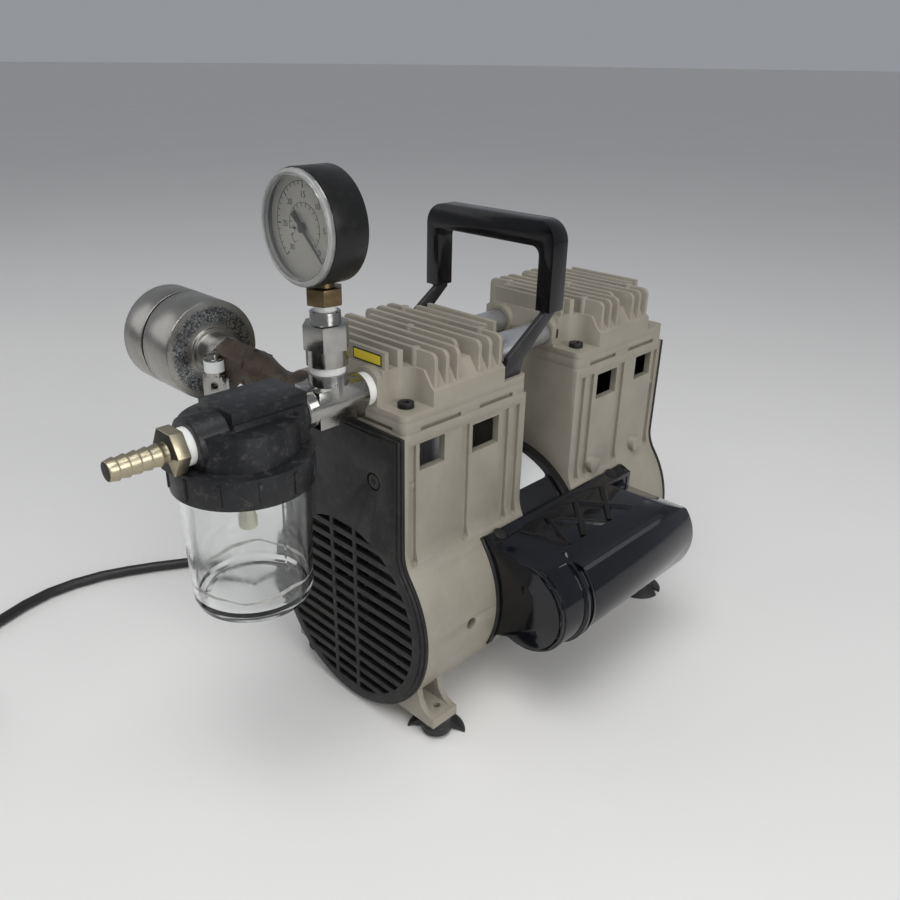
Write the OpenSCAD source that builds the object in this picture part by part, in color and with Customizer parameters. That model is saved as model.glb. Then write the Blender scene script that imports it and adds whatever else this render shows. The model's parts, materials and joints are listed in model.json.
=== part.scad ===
// Twin-head wobble piston vacuum pump with gauge, relief branch and liquid trap.
// Origin: on the surface, at the middle of the box round the object without its cord.
// Y runs along the motor shaft, Z is up. The modules draw the pump with the middle of its
// four feet at zero, and placed() moves each one to the origin.

/* [Heads] */
// Width of each head and flange across the pump
head_w = 90; // [88:1:94]
// Length of each head along the shaft
head_len = 92.2; // [90:0.2:96]
// Free gap between the two heads
head_gap = 47.2; // [44:0.2:52]
// Corner radius of heads and valve plates
head_corner = 4.5; // [3:0.5:6]
// Height of a head from its lower seam to the fin floor
head_h = 21.3; // [20:0.1:24]
// Height of the cooling fins above the fin floor
fin_h = 8.8; // [6:0.2:12]
// Thickness of one cooling fin
fin_t = 2.5; // [1.5:0.1:3.5]
// Distance from fin to fin
fin_pitch = 7.9; // [7:0.1:8.2]
// Number of fins on a head
fin_count = 11; // [7:2:11]
// Thickness of a head's walls and roof
head_wall = 4; // [3:0.5:5]
// Thickness of a valve plate
plate_h = 6.1; // [5:0.1:8]
// Height of the ports above the head's lower seam
port_up = 11.3; // [10.5:0.1:12]
// Distance of the ports from the middle plane
port_x = 17; // [15:0.5:18]
// Outside radius of a transfer tube
tube_r = 7; // [5:0.5:7.5]

/* [Housings] */
// Height of the shaft axis above the surface
shaft_z = 64.5; // [63.5:0.5:67]
// Radius of the round motor bell
bell_r = 62.5; // [61:0.5:63]
// Radius of the flare between bell and cylinder block
flare_r = 24; // [18:1:28]
// Width of the cylinder block
block_w = 89; // [86:1:90]
// Top of the housing flange above the surface
deck_z = 182.1; // [178:0.1:190]
// Thickness of the housing flange and deck
deck_t = 5.5; // [5:0.1:7]
// Wall thickness of the cast housings
cast_wall = 4; // [3:0.5:5]
// Depth of the shallow channels in the block's sides
channel_depth = 1.8; // [1:0.2:2.6]

/* [Fan covers] */
// Depth of a fan cover along the shaft
cover_t = 4.5; // [4:0.1:6]
// Radius of the round grille
grille_r = 55; // [50:0.5:56]
// Distance from slot to slot in the grille
slot_pitch = 7.9; // [7:0.1:9]
// Height of one grille slot
slot_h = 4.4; // [3:0.1:5]
// Number of grille slots
slot_count = 14; // [10:1:14]

/* [Running gear] */
// Crank radius, half the stroke
crank_r = 3; // [2:0.2:3.2]
// Radius of the motor shaft
shaft_r = 5; // [4:0.5:6]
// Radius of the eccentric disc
ecc_r = 12; // [11:0.5:13]
// Outer radius of the cylinder sleeve
sleeve_r = 18.7; // [18.2:0.1:19.5]
// Bore radius of the cylinder sleeve
bore_r = 17; // [16.8:0.1:17.5]
// Radius of the piston cup
cup_r = 13.4; // [12:0.2:13.4]
// Radius of the cooling fans
fan_r = 50; // [42:1:53]
// Radial running clearance of bearings
run_gap = 0.05; // [0.02:0.01:0.1]

/* [Motor] */
// Outer radius of the motor's lamination stack
stator_r = 59; // [58:0.5:60]
// Inner radius of the lamination stack
stator_bore = 31; // [28:0.5:33]
// Air gap between rotor and stator
air_gap = 0.5; // [0.3:0.1:0.8]

/* [Feet] */
// Distance of the feet on the capacitor's side from the middle plane
foot_x = 58; // [56:0.5:60]
// Distance of the feet on the other side from the middle plane
foot_x_left = 46; // [45:0.5:50]
// Distance of the feet's screws from the housing's outer face
foot_in = 11.8; // [10:0.2:13]
// Radius of the hole through each foot
foot_hole = 2.1; // [1.8:0.1:2.5]
// Radius of the rubber foot's rim
foot_rim = 16.6; // [15:0.1:19]

/* [Handle] */
// Height of the handle's top above the surface
handle_top = 271; // [262:1:285]
// Distance of the handle's legs outside the head screws
leg_out = 6.5; // [6:0.5:7.5]
// Thickness of the grip along the shaft
grip_t = 11; // [9:0.5:12]
// Middle plane of the grip along the shaft
handle_y = -5; // [-7:0.5:-3]

/* [Capacitor] */
// Radius of the capacitor cover's round can
can_r = 30; // [29:0.5:32]
// Middle of the can, across the pump
can_x = 79; // [78:0.5:81]
// Height of the can's axis
can_z = 74; // [72:0.5:76]
// Radius of the capacitor inside the cover
cap_r = 21; // [18:0.5:21]
// Sheet thickness of the cover
sheet_t = 1.2; // [0.8:0.1:1.6]

/* [Inlet plumbing] */
// Distance from the head's front wall to the cross fitting's middle
cross_out = 22.8; // [22:0.2:26]
// Radius of the pressure gauge
gauge_r = 25; // [22:0.5:28]
// Height of the gauge's centre
gauge_z = 280.6; // [279:0.2:290]
// Distance from the cross fitting to the trap's axis
trap_out = 49.7; // [49:0.1:54]
// Radius of the trap's ring collar
collar_r = 32.3; // [31.5:0.1:34]
// Radius of the trap bowl at its top
bowl_r = 30; // [28:0.5:30]
// Bottom of the trap bowl above the surface
bowl_z = 115.2; // [105:0.2:125]
// Radius of the round filter can
filter_r = 28; // [24:0.5:30]

/* [Cord] */
// Diameter of the power cord
cord_d = 7; // [5:0.5:7.5]

/* [Hidden] */
$fn = 64;
eps = 0.01;
skin = 1;
head_y = (head_gap + head_len) / 2;
y_in = head_gap / 2;
y_out = y_in + head_len;
plate_z = deck_z + plate_h;
fin_floor = plate_z + head_h;
port_z = plate_z + port_up;
shoulder = 7.5;
screw_x = head_w / 2 - 10.5;
screw_dy = head_len / 2 - 10.6;
pocket_r = 9;
pad_z = plate_z + 3.8;
screw_hole = 2.7;
cover_screw_x = 26.5;
cover_screw_z = deck_z - 29;
boss_l = 8;
cover_y = y_out + cover_t;
web_y0 = y_in + 14.4;
web_y1 = web_y0 + 6;
motor_cavity = stator_r - 3;
bolt_pcr = motor_cavity - 4;
bolt_r = 2;
bearing_r = 13;
bearing_w = 9;
bearing_y = web_y0 + 1;
rod_t = 9;
rod_y0 = head_y - rod_t / 2;
rod_y1 = head_y + rod_t / 2;
rod_bearing_r = ecc_r + 6.5;
big_end_r = rod_bearing_r + 4.5;
piston_top = deck_z - 1.3;
piston_rise = piston_top - shaft_z - crank_r;
fan_y = y_out - 14.5;
sleeve_z = deck_z - 42;
collar_t = 1.5;
rotor_r = stator_bore - air_gap;
cup_h = 12.3;
foot_pad_t = 6;
foot_y = y_out - foot_in;
foot_end = foot_y + 10.5;
foot_half = 8;
foot_hub_r = 8;
gasket_t = 1.4;
can_y0 = -60;
can_y1 = 76;
cap_gap = 0.3;
bead_h = 0.8;
filter_body = 26;
filter_slot = 2;
filter_lid = 20;
filter_len = filter_body + filter_slot + filter_lid;
barb_l = 30;
barb_out = 29.5 + barb_l;
cross_y = -(y_out + cross_out);
trap_y = cross_y - trap_out;
pipe_x = port_x;
tape_t = 1;
thread_r = 7.4;
gauge_back = cross_y + 5.6;
gauge_front = gauge_back - 19.5;
strap_t = 3;
strap_x = screw_x + leg_out;
handle_half = strap_x + 6;
leg_w = 10;
grip_low = 223;
collar_z = 176;
branch_y = cross_y;
branch_x = pipe_x - 13;
hub_l = 16;
hex_l = 27;
neck_l = 46;
branch_hex_r = 11.4;
filter_x = branch_x - neck_l - hex_l - hub_l;
cord_r = cord_d / 2;

// Solid with its outline in X and Z, from y0 to y1
module along_y(y0, y1) {
  translate([0, y1, 0]) rotate([90, 0, 0]) linear_extrude(y1 - y0) children();
}
// Round bar along Y
module bar_y(r, y0, y1, x = 0, z = 0) {
  translate([x, y1, z]) rotate([90, 0, 0]) cylinder(r = r, h = y1 - y0);
}
// Round bar along X
module bar_x(r, x0, x1, y = 0, z = 0) {
  translate([x0, y, z]) rotate([0, 90, 0]) cylinder(r = r, h = x1 - x0);
}
// Round bar along Z
module bar_z(r, z0, z1, x = 0, y = 0) {
  translate([x, y, z0]) cylinder(r = r, h = z1 - z0);
}
module tube_y(r1, r0, y0, y1, x = 0, z = 0) {
  difference() {
    bar_y(r1, y0, y1, x, z);
    bar_y(r0, y0 - skin, y1 + skin, x, z);
  }
}
module tube_z(r1, r0, z0, z1, x = 0, y = 0) {
  difference() {
    bar_z(r1, z0, z1, x, y);
    bar_z(r0, z0 - skin, z1 + skin, x, y);
  }
}
// Hexagonal bar along Z, y or x given by its turn
module hex_z(across, z0, z1) {
  translate([0, 0, z0]) cylinder(r = across / sqrt(3), h = z1 - z0, $fn = 6);
}
// Rectangle with round corners, centred
module round_rect(w, l, r) {
  square([w - 2 * r, l], center = true);
  square([w, l - 2 * r], center = true);
  for (sx = [-1, 1], sy = [-1, 1]) translate([sx * (w / 2 - r), sy * (l / 2 - r)]) circle(r);
}
module box(x0, x1, y0, y1, z0, z1) {
  translate([x0, y0, z0]) cube([x1 - x0, y1 - y0, z1 - z0]);
}
// Moves a piece from the middle of the feet to the middle of the whole object
module placed() {
  left = filter_x - filter_len;
  right = can_x + can_r + bead_h;
  near = trap_y - barb_out;
  translate([-(left + right) / 2, -(near + cover_y) / 2, 0]) children();
}
module rear() {
  mirror([0, 1, 0]) children();
}
module both_ends() {
  children();
  rear() children();
}

// Outline of a housing in X and Z, drawn in by t
module bell_outline(t, top) {
  bx = block_w / 2;
  cx = bx + flare_r;
  cz = shaft_z + sqrt(pow(bell_r + flare_r, 2) - cx * cx);
  translate([0, shaft_z]) circle(bell_r - t, $fn = 128);
  translate([t - bx, shaft_z]) square([block_w - 2 * t, top - shaft_z]);
  for (s = [-1, 1]) scale([s, 1]) difference() {
    polygon([[0, shaft_z], [cx, cz], [0, cz]]);
    translate([cx, cz]) circle(flare_r + t);
  }
}
module plate_outline() {
  translate([0, -head_y]) round_rect(head_w, head_len, head_corner);
}
module at_head_screws() {
  for (sx = [-1, 1], sy = [-1, 1]) translate([sx * screw_x, sy * screw_dy - head_y, 0]) children();
}
module at_bolts() {
  for (a = [45:90:315]) translate([bolt_pcr * cos(a), 0, shaft_z + bolt_pcr * sin(a)]) children();
}

// Cast web that carries a foot at x: profile in X and Z, on the +X side
module foot_web(x) {
  bell_x = bell_r - 8.5;
  polygon([[36, cup_h + 2], [x + foot_half, cup_h + foot_pad_t - 1], [x + 1, 20], [min(x, bell_x + 1), 25],
    [min(x + 6, bell_x - 0.4), 31], [bell_x + 0.2, 37], [45, 37]]);
}
module foot_cast(x) {
  pad_in = foot_y - foot_half;
  difference() {
    union() {
      box(x - 24, x + foot_half, -foot_end, -pad_in, cup_h, cup_h + foot_pad_t);
      along_y(-foot_end, -foot_end + 3.5) foot_web(x);
      along_y(-pad_in - 3.5, -pad_in) foot_web(x);
      bar_z(4, cup_h - 3, cup_h + eps, x, -foot_y);
    }
    bar_z(foot_hole, cup_h - 4, cup_h + foot_pad_t + 1, x, -foot_y);
  }
}
// Windows and channels in one side of the cylinder block
module side_cuts() {
  bx = block_w / 2;
  low = shaft_z + 42.5;
  box(bx - cast_wall - 2, bx + 2, -y_out + 10.5, -y_out + 28.3, deck_z - 21.6, deck_z - 6.6);
  box(bx - cast_wall - 2, bx + 2, -y_in - 42.9, -y_in - 22.2, deck_z - 24.1, deck_z - 8.1);
  for (c = [[-y_out + 3.4, 4.8], [-head_y - 5, 5.7], [-y_in - 18.4, 4.5], [-y_in - 9.4, 4.5]]) {
    box(bx - channel_depth, bx + flare_r, c[0], c[0] + c[1], low + c[1] / 2, deck_z - deck_t - 1);
    bar_x(c[1] / 2, bx - channel_depth, bx + flare_r, c[0] + c[1] / 2, low + c[1] / 2);
  }
}
module housing(cap_y) {
  top_in = deck_z - deck_t;
  difference() {
    union() {
      difference() {
        union() {
          along_y(-y_out, -y_in) bell_outline(0, deck_z - 1);
          translate([0, 0, deck_z - deck_t]) linear_extrude(deck_t) plate_outline();
        }
        along_y(-y_out - skin, -web_y1) bell_outline(cast_wall, top_in);
        box(-block_w / 2 + cast_wall, block_w / 2 - cast_wall, -web_y1 - skin, -y_in - cast_wall,
          shaft_z + motor_cavity + cast_wall, top_in);
        bar_y(motor_cavity, -web_y0, -y_in + skin, 0, shaft_z);
        for (s = [-1, 1]) scale([s, 1, 1]) side_cuts();
        for (s = [-1, 1]) scale([s, 1, 1]) bar_x(3.5, bell_r - 12, bell_r + 5, -y_out + 33.8,
          shaft_z + 0.5);
      }
      for (c = [[1, foot_x], [-1, foot_x_left]]) scale([c[0], 1, 1]) difference() {
        foot_cast(c[1]);
        bar_y(bell_r - cast_wall, -y_out - skin, -y_in + skin, 0, shaft_z);
      }
      bar_y(bearing_r + 4, -web_y1 - 6, -web_y0, 0, shaft_z);
      for (s = [-1, 1]) scale([s, 1, 1]) {
        bar_y(4.6, -y_out, -y_out + boss_l, cover_screw_x, cover_screw_z);
        box(cover_screw_x, block_w / 2 - 1, -y_out, -y_out + boss_l, cover_screw_z - 1.5,
          cover_screw_z + 1.5);
      }
      at_bolts() bar_y(5, -web_y0 - skin, -y_in);
    }
    bar_y(bearing_r, -web_y1 - 7, -bearing_y, 0, shaft_z);
    bar_y(shaft_r + 1.5, -web_y1 - 7, -y_in, 0, shaft_z);
    at_bolts() bar_y(bolt_r + 0.2, -web_y1 - skin, -y_in + skin);
    for (a = [0:90:270]) bar_y(9, -web_y1 - skin, -web_y0 + skin, 35 * cos(a), shaft_z + 35 * sin(a));
    bar_z(sleeve_r + eps, top_in - skin, deck_z + skin, 0, -head_y);
    bar_z(sleeve_r + 2.3, deck_z - collar_t, deck_z + skin, 0, -head_y);
    at_head_screws() bar_z(2.1, top_in - skin, deck_z + skin);
    at_cap_screw(cap_y) cylinder(r = 2.05, h = 24, center = true);
    for (s = [-1, 1]) bar_y(2.05, -y_out - skin, -y_out + boss_l + skin, s * cover_screw_x, cover_screw_z);
  }
}
module side_bosses() {
  for (y = [y_in + 23, y_in + 70.6]) bar_x(5, block_w / 2 - 1, block_w / 2 + 4.6, y, deck_z - 67.7);
}
module housing_front() {
  color("#8f897c") housing(cap_screw_ys[0]);
}
module housing_rear() {
  color("#8f897c") rear() housing(-cap_screw_ys[1]);
  color("#8f897c") difference() {
    side_bosses();
    along_y(y_in - 1, y_out + 1) bell_outline(0, deck_z);
  }
}

// Fan cover with a round grille
module slot_field(r) {
  z0 = shaft_z + slot_pitch * (slot_count - 1) / 2 + 0.6;
  difference() {
    intersection() {
      translate([0, shaft_z]) circle(r, $fn = 128);
      for (i = [0:slot_count - 1]) translate([-r, z0 - i * slot_pitch - slot_h / 2]) square([2 * r,
        slot_h]);
    }
    for (s = [-1, 1]) translate([s * 9.6 - 1.4, shaft_z - r]) square([2.8, 2 * r]);
  }
}
module fan_cover() {
  difference() {
    union() {
      along_y(-y_out - cover_t * 0.45, -y_out) bell_outline(-0.4, deck_z - 1.4);
      along_y(-y_out - cover_t * 0.8, -y_out - cover_t * 0.45) bell_outline(0.6, deck_z - 2.2);
      along_y(-cover_y, -y_out - cover_t * 0.8) bell_outline(2.2, deck_z - 3.8);
    }
    along_y(-y_out - 1.8, -y_out + skin) bell_outline(cast_wall, deck_z - 8);
    along_y(-cover_y - skin, -y_out + skin) slot_field(grille_r);
    for (s = [-1, 1]) {
      bar_y(5, -cover_y - skin, -cover_y + 1.5, s * cover_screw_x, cover_screw_z);
      bar_y(2.2, -cover_y - skin, -y_out + skin, s * cover_screw_x, cover_screw_z);
    }
  }
}
module cover_screw() {
  bar_y(4, -cover_y + 0.3, -cover_y + 1.5);
  bar_y(2, -cover_y + 1.5, -y_out + boss_l - 1);
}
module cover_screws() {
  color("#151515") both_ends() for (s = [-1, 1]) difference() {
    translate([s * cover_screw_x, 0, cover_screw_z]) cover_screw();
    translate([s * cover_screw_x, -cover_y - 0.2, cover_screw_z]) rotate([-90, 30, 0])
      cylinder(r = 1.8, h = 1.4, $fn = 6);
  }
}

module fan_cover_front() {
  color("#1e1f20") fan_cover();
}
module fan_cover_rear() {
  color("#1e1f20") rear() fan_cover();
}

// Motor
module stator() {
  color("#17181a") difference() {
    union() {
      bar_y(stator_r, -y_in, y_in, 0, shaft_z);
      both_ends() bar_y(stator_r + 2, -y_in, -y_in + 5, 0, shaft_z);
      rear() bar_y(stator_r + 3, -y_in + 5, -y_in + 8, 0, shaft_z);
    }
    bar_y(stator_bore, -y_in - skin, y_in + skin, 0, shaft_z);
    at_bolts() bar_y(bolt_r + 0.2, -y_in - skin, y_in + skin);
  }
}
module stator_windings() {
  color("#9a4a1c") both_ends()
    tube_y(bolt_pcr - 6.5, stator_bore + 2, -web_y0 + 1.4, -y_in, 0, shaft_z);
}
module rotor() {
  color("#5b5e62") difference() {
    union() {
      bar_y(rotor_r, -y_in, y_in, 0, shaft_z);
      both_ends() bar_y(rotor_r - 4, -y_in - 6, -y_in, 0, shaft_z);
    }
    bar_y(shaft_r, -y_in - 7, y_in + 7, 0, shaft_z);
  }
}
module motor_shaft() {
  color("#b9bdc2") bar_y(shaft_r, -fan_y - 12, fan_y + 12, 0, shaft_z);
}
module shaft_bearings() {
  color("#a8acb0") both_ends()
    tube_y(bearing_r, shaft_r + run_gap, -bearing_y - bearing_w, -bearing_y, 0, shaft_z);
}
// Eccentric disc with its counterweight, crank pin up when s is 1 and down when s is -1
module eccentric(s) {
  ym = -rod_y0 + 1;
  difference() {
    union() {
      bar_y(ecc_r, -rod_y1 - 0.6, ym, 0, shaft_z + s * crank_r);
      intersection() {
        bar_y(26, ym, ym + 6, 0, shaft_z);
        box(-40, 40, ym - 1, ym + 7, shaft_z + (s > 0 ? -40 : -8), shaft_z + (s > 0 ? 8 : 40));
      }
    }
    bar_y(shaft_r, -rod_y1 - 2, ym + 8, 0, shaft_z);
  }
}
module eccentric_front() {
  color("#7d8085") eccentric(1);
}
module eccentric_rear() {
  color("#7d8085") rear() eccentric(-1);
}
// Wobble rod with the piston disc cast on, drawn for a crank pin at height pin_z
module rod(pin_z) {
  top = pin_z + piston_rise;
  difference() {
    union() {
      bar_y(big_end_r, -rod_y1, -rod_y0, 0, pin_z);
      box(-7, 7, -head_y - 3, -head_y + 3, pin_z + big_end_r - 2, top - 6);
      box(-3, 3, -rod_y1, -rod_y0, pin_z + big_end_r - 2, top - 6);
      bar_z(cup_r - 1.2, top - 7, top - 3, 0, -head_y);
      bar_z(4, top - 3.5, top - 1.6, 0, -head_y);
    }
    bar_y(rod_bearing_r, -rod_y1 - skin, -rod_y0 + skin, 0, pin_z);
    bar_z(1.6, top - 6.5, top, 0, -head_y);
  }
}
module rod_bearing(pin_z) {
  tube_y(rod_bearing_r, ecc_r + run_gap, -rod_y1, -rod_y0, 0, pin_z);
}
// Cup seal: flat ring with an upturned lip
module piston_cup(pin_z) {
  top = pin_z + piston_rise;
  translate([0, -head_y, top - 3]) rotate_extrude()
    polygon([[4.05, 0], [cup_r - 0.5, 0], [cup_r, 0.6], [cup_r, 2.8], [cup_r - 0.8, 2.8],
      [cup_r - 1, 0.9], [4.05, 0.9]]);
}
module cup_clamp(pin_z) {
  top = pin_z + piston_rise;
  bar_z(cup_r - 1.6, top - 1.5, top - 0.2, 0, -head_y);
  bar_z(1.5, top - 6, top - 1.5, 0, -head_y);
  tube_z(cup_r - 1.6, 4.2, top - 2.05, top - 1.5, 0, -head_y);
}
pin_front = shaft_z + crank_r;
pin_rear = shaft_z - crank_r;
module rod_front() {
  color("#9b9ea2") rod(pin_front);
}
module rod_rear() {
  color("#9b9ea2") rear() rod(pin_rear);
}
module rod_bearing_front() {
  color("#a8acb0") rod_bearing(pin_front);
}
module rod_bearing_rear() {
  color("#a8acb0") rear() rod_bearing(pin_rear);
}
module piston_cup_front() {
  color("#6b5a3a") piston_cup(pin_front);
}
module piston_cup_rear() {
  color("#6b5a3a") rear() piston_cup(pin_rear);
}
module cup_clamp_front() {
  color("#b9bdc2") cup_clamp(pin_front);
}
module cup_clamp_rear() {
  color("#b9bdc2") rear() cup_clamp(pin_rear);
}
module fan() {
  color("#2a2b2d") difference() {
    union() {
      bar_y(12, -fan_y - 11, -fan_y, 0, shaft_z);
      bar_y(fan_r - 4, -fan_y - 1.6, -fan_y, 0, shaft_z);
      translate([0, 0, shaft_z]) for (a = [0:30:330]) rotate([0, a, 0]) box(9, fan_r, -fan_y - 10,
        -fan_y, -0.9, 0.9);
    }
    bar_y(shaft_r, -fan_y - 13, -fan_y + skin, 0, shaft_z);
  }
}
module fan_front() {
  fan();
}
module fan_rear() {
  rear() fan();
}

// Cylinders and valves
module cylinder_sleeves() {
  color("#c9cbcd") both_ends() difference() {
    union() {
      bar_z(sleeve_r, sleeve_z, deck_z, 0, -head_y);
      bar_z(sleeve_r + 2.3, deck_z - collar_t, deck_z, 0, -head_y);
    }
    bar_z(bore_r, sleeve_z - skin, deck_z + skin, 0, -head_y);
  }
}
// Shallow slots along the lower edge of a valve plate
module plate_slots() {
  d = 2;
  for (s = [-1, 1], c = [[-y_out + 11.1, 28.4], [-y_in - 38.6, 26.5]])
    box(s * head_w / 2 - d, s * head_w / 2 + d, c[0], c[0] + c[1], deck_z - skin, deck_z + 2.4);
  for (s = [-1, 1]) scale([s, 1, 1]) box(4, 36, -y_out - d, -y_out + d, deck_z - skin, deck_z + 2.4);
}
module valve_plate() {
  color("#8f897c") difference() {
    translate([0, 0, deck_z]) linear_extrude(plate_h) plate_outline();
    plate_slots();
    at_head_screws() bar_z(screw_hole, deck_z - skin, plate_z + skin);
    for (s = [-1, 1], dy = [-5, 0, 5]) bar_z(1.8, deck_z - skin, plate_z + skin, s * 9, dy - head_y);
    tube_z(sleeve_r + 1.6, sleeve_r - 0.6, deck_z - skin, deck_z + 1.5, 0, -head_y);
  }
}
module valve_plate_front() {
  valve_plate();
}
module valve_plate_rear() {
  rear() valve_plate();
}
module reed_valves() {
  color("#d4d6d8") both_ends() {
    translate([9, -head_y - 1, deck_z - 0.3]) linear_extrude(0.3) round_rect(6, 18, 2.5);
    translate([-9, -head_y - 1, plate_z]) linear_extrude(0.3) round_rect(6, 18, 2.5);
  }
}
module ring_z(r, d, z, x = 0, y = 0) {
  translate([x, y, z]) rotate_extrude() translate([r, 0]) circle(d / 2, $fn = 24);
}
module seal_rings() {
  color("#222222") {
    both_ends() ring_z(sleeve_r + 0.5, 1.3, deck_z + 0.68, 0, -head_y);
    both_ends() for (s = [-1, 1]) translate([s * port_x, -y_in - 3.4, port_z]) rotate([90, 0, 0])
      rotate_extrude() translate([tube_r + 0.98, 0]) circle(0.9, $fn = 24);
    tube_z(bowl_r - 0.8, bowl_r - 2.8, collar_z + 10.2, collar_z + 11.6, pipe_x, trap_y);
  }
}

// Heads
module fin_2d(half) {
  r = 3.8;
  z0 = plate_z + 9;
  top = fin_floor + fin_h;
  square_w = half - r;
  translate([-half, z0]) square([2 * half, top - r - z0]);
  translate([-square_w, z0]) square([2 * square_w, top - z0]);
  for (s = [-1, 1]) translate([s * square_w, top - r]) circle(r);
}
module corner_pocket() {
  circle(pocket_r);
  translate([-pocket_r, 0]) square([pocket_r + 25, 25]);
  translate([0, -pocket_r]) square([25, pocket_r + 25]);
}
module head(inlet_x) {
  bx = head_w / 2;
  mid = (fin_count - 1) / 2;
  inset = bx - 1.4;
  difference() {
    union() {
      difference() {
        translate([0, 0, plate_z]) linear_extrude(head_h) plate_outline();
        for (s = [-1, 1]) scale([s, 1, 1]) along_y(-y_out - 1, -y_in + 1)
          polygon([[bx + 1, plate_z + 11.5], [bx + 1, fin_floor + 1], [bx - shoulder, fin_floor + 1],
            [bx - shoulder, fin_floor], [bx - 2.5, plate_z + 14]]);
        for (s = [-1, 1]) translate([0, -head_y, 0]) scale([1, s, 1]) rotate([90, 0, 90])
          translate([0, 0, -bx - 1]) linear_extrude(head_w + 2)
          polygon([[head_len / 2 + 1, plate_z + 8], [head_len / 2 + 1, fin_floor + 1],
            [head_len / 2 - 4, fin_floor + 1], [head_len / 2 - 2.6, fin_floor - 4]]);
      }
      for (i = [0:fin_count - 1]) {
        yc = (i - mid) * fin_pitch - head_y;
        half = i == mid ? inset - 9 : inset;
        along_y(yc - fin_t / 2, yc + fin_t / 2) fin_2d(half);
      }
      for (sx = [-1, 1], sy = [-1, 1])
        bar_z(2.4, fin_floor, fin_floor + fin_h + 0.5, sx * 29, sy * 3 * fin_pitch - head_y);
      bar_z(2.4, fin_floor, fin_floor + fin_h + 0.5, 0, -head_y);
      for (s = [-1, 1]) bar_y(tube_r + 2.8, -y_in - 4, -y_in + 1.4, s * port_x, port_z);
      bar_y(thread_r + tape_t + 2.6, -y_out, -y_out + 6, inlet_x, port_z);
    }
    for (sx = [-1, 1], sy = [-1, 1]) translate([sx * screw_x, sy * screw_dy - head_y, pad_z])
      scale([sx, sy, 1]) linear_extrude(handle_top - pad_z) corner_pocket();
    at_head_screws() bar_z(screw_hole, plate_z - skin, pad_z + skin);
    for (s = [-1, 1]) scale([s, 1, 1]) {
      box(1.5, screw_x - pocket_r - 2, -y_out + head_wall + 3, -y_in - head_wall - 3, plate_z - skin,
        fin_floor - head_wall);
      box(1.5, bx - head_wall - 4, -head_y - screw_dy + pocket_r + 2, -head_y + screw_dy - pocket_r - 2,
        plate_z - skin, fin_floor - head_wall - 2);
    }
    for (s = [-1, 1]) bar_y(tube_r + 0.1, -y_in - head_wall - 5, -y_in + 3, s * port_x, port_z);
    for (s = [-1, 1]) bar_y(tube_r + 1.95, -y_in - 4.4, -y_in - 2.4, s * port_x, port_z);
    bar_y(thread_r + tape_t + eps, -y_out - 3, -y_out + 9, inlet_x, port_z);
  }
}
module head_front() {
  color("#8f897c") head(port_x);
}
module head_rear() {
  color("#8f897c") rear() head(-port_x);
}
module head_screw(lift) {
  difference() {
    union() {
      bar_z(2.05, deck_z - deck_t + 0.5, pad_z + lift + 0.5);
      bar_z(4.2, pad_z + lift, pad_z + lift + 2.6);
    }
    translate([0, 0, pad_z + lift + 1]) cylinder(r = 2, h = 3, $fn = 6);
  }
}
module head_screws() {
  color("#3a3a3a") {
    for (sx = [-1, 1]) {
      translate([sx * screw_x, -screw_dy - head_y, 0]) head_screw(0);
      translate([sx * screw_x, screw_dy - head_y, 0]) head_screw(strap_t);
    }
    rear() at_head_screws() head_screw(0);
  }
}
module transfer_tubes() {
  color("#b4b8bc") for (s = [-1, 1])
    tube_y(tube_r, tube_r - 1, -y_in - 6, y_in + 6, s * port_x, port_z);
}
module through_bolts() {
  color("#8a8d90") at_bolts() {
    bar_y(bolt_r, -web_y1 - 4, web_y1 + 4);
    both_ends() bar_y(4, -web_y1 - 3, -web_y1);
  }
}

// Handle
leg_bend_y = handle_y - leg_w / 2;
module strap_leg() {
  foot_top = pad_z + strap_t;
  ys = screw_dy - head_y;
  difference() {
    union() {
      translate([strap_x - strap_t / 2, 0, 0]) rotate([90, 0, 90]) linear_extrude(strap_t)
        polygon([[ys - 6.5, pad_z], [ys + 6.5, pad_z], [ys + 9, pad_z + 8], [handle_y + leg_w / 2,
          grip_low - 2],
          [handle_y + leg_w / 2, handle_top - 5.5], [leg_bend_y, handle_top - 5.5], [leg_bend_y,
            grip_low - 1],
          [ys - 4, foot_top + 8]]);
      box(screw_x - 6.5, strap_x + strap_t / 2, ys - 6.5, ys + 6.5, pad_z, foot_top);
    }
    bar_z(screw_hole, pad_z - 1, foot_top + 1, screw_x, ys);
  }
}
module strap_bar(g) {
  box(-strap_x, strap_x, leg_bend_y - g, handle_y + leg_w / 2 + g, handle_top - 5.5 - strap_t - g,
    handle_top - 5.5 + g);
}
module handle_strap() {
  color("#1a1a1b") {
    for (s = [-1, 1]) scale([s, 1, 1]) strap_leg();
    strap_bar(0);
  }
}
module handle_grip() {
  w = handle_half;
  ro = 12;
  ri = 5;
  leg = 10;
  bar = 14;
  color("#0c0c0d") difference() {
    along_y(handle_y - grip_t / 2 - 0.5, handle_y + grip_t / 2 + 0.5) difference() {
      union() {
        translate([-w, grip_low]) square([2 * w, handle_top - ro - grip_low]);
        translate([ro - w, grip_low]) square([2 * (w - ro), handle_top - grip_low]);
        for (s = [-1, 1]) translate([s * (w - ro), handle_top - ro]) circle(ro);
      }
      union() {
        translate([leg - w, grip_low - 1]) square([2 * (w - leg), handle_top - bar - ri - grip_low + 1]);
        translate([leg + ri - w, grip_low - 1]) square([2 * (w - leg - ri),
          handle_top - bar - grip_low + 1]);
        for (s = [-1, 1]) translate([s * (w - leg - ri), handle_top - bar - ri]) circle(ri);
      }
    }
    for (s = [-1, 1]) scale([s, 1, 1])
      box(strap_x - strap_t / 2 - eps, strap_x + strap_t / 2 + eps, leg_bend_y - eps,
        handle_y + leg_w / 2 + eps, grip_low - 1, handle_top - 5.5 + eps);
    strap_bar(eps);
  }
}

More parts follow.
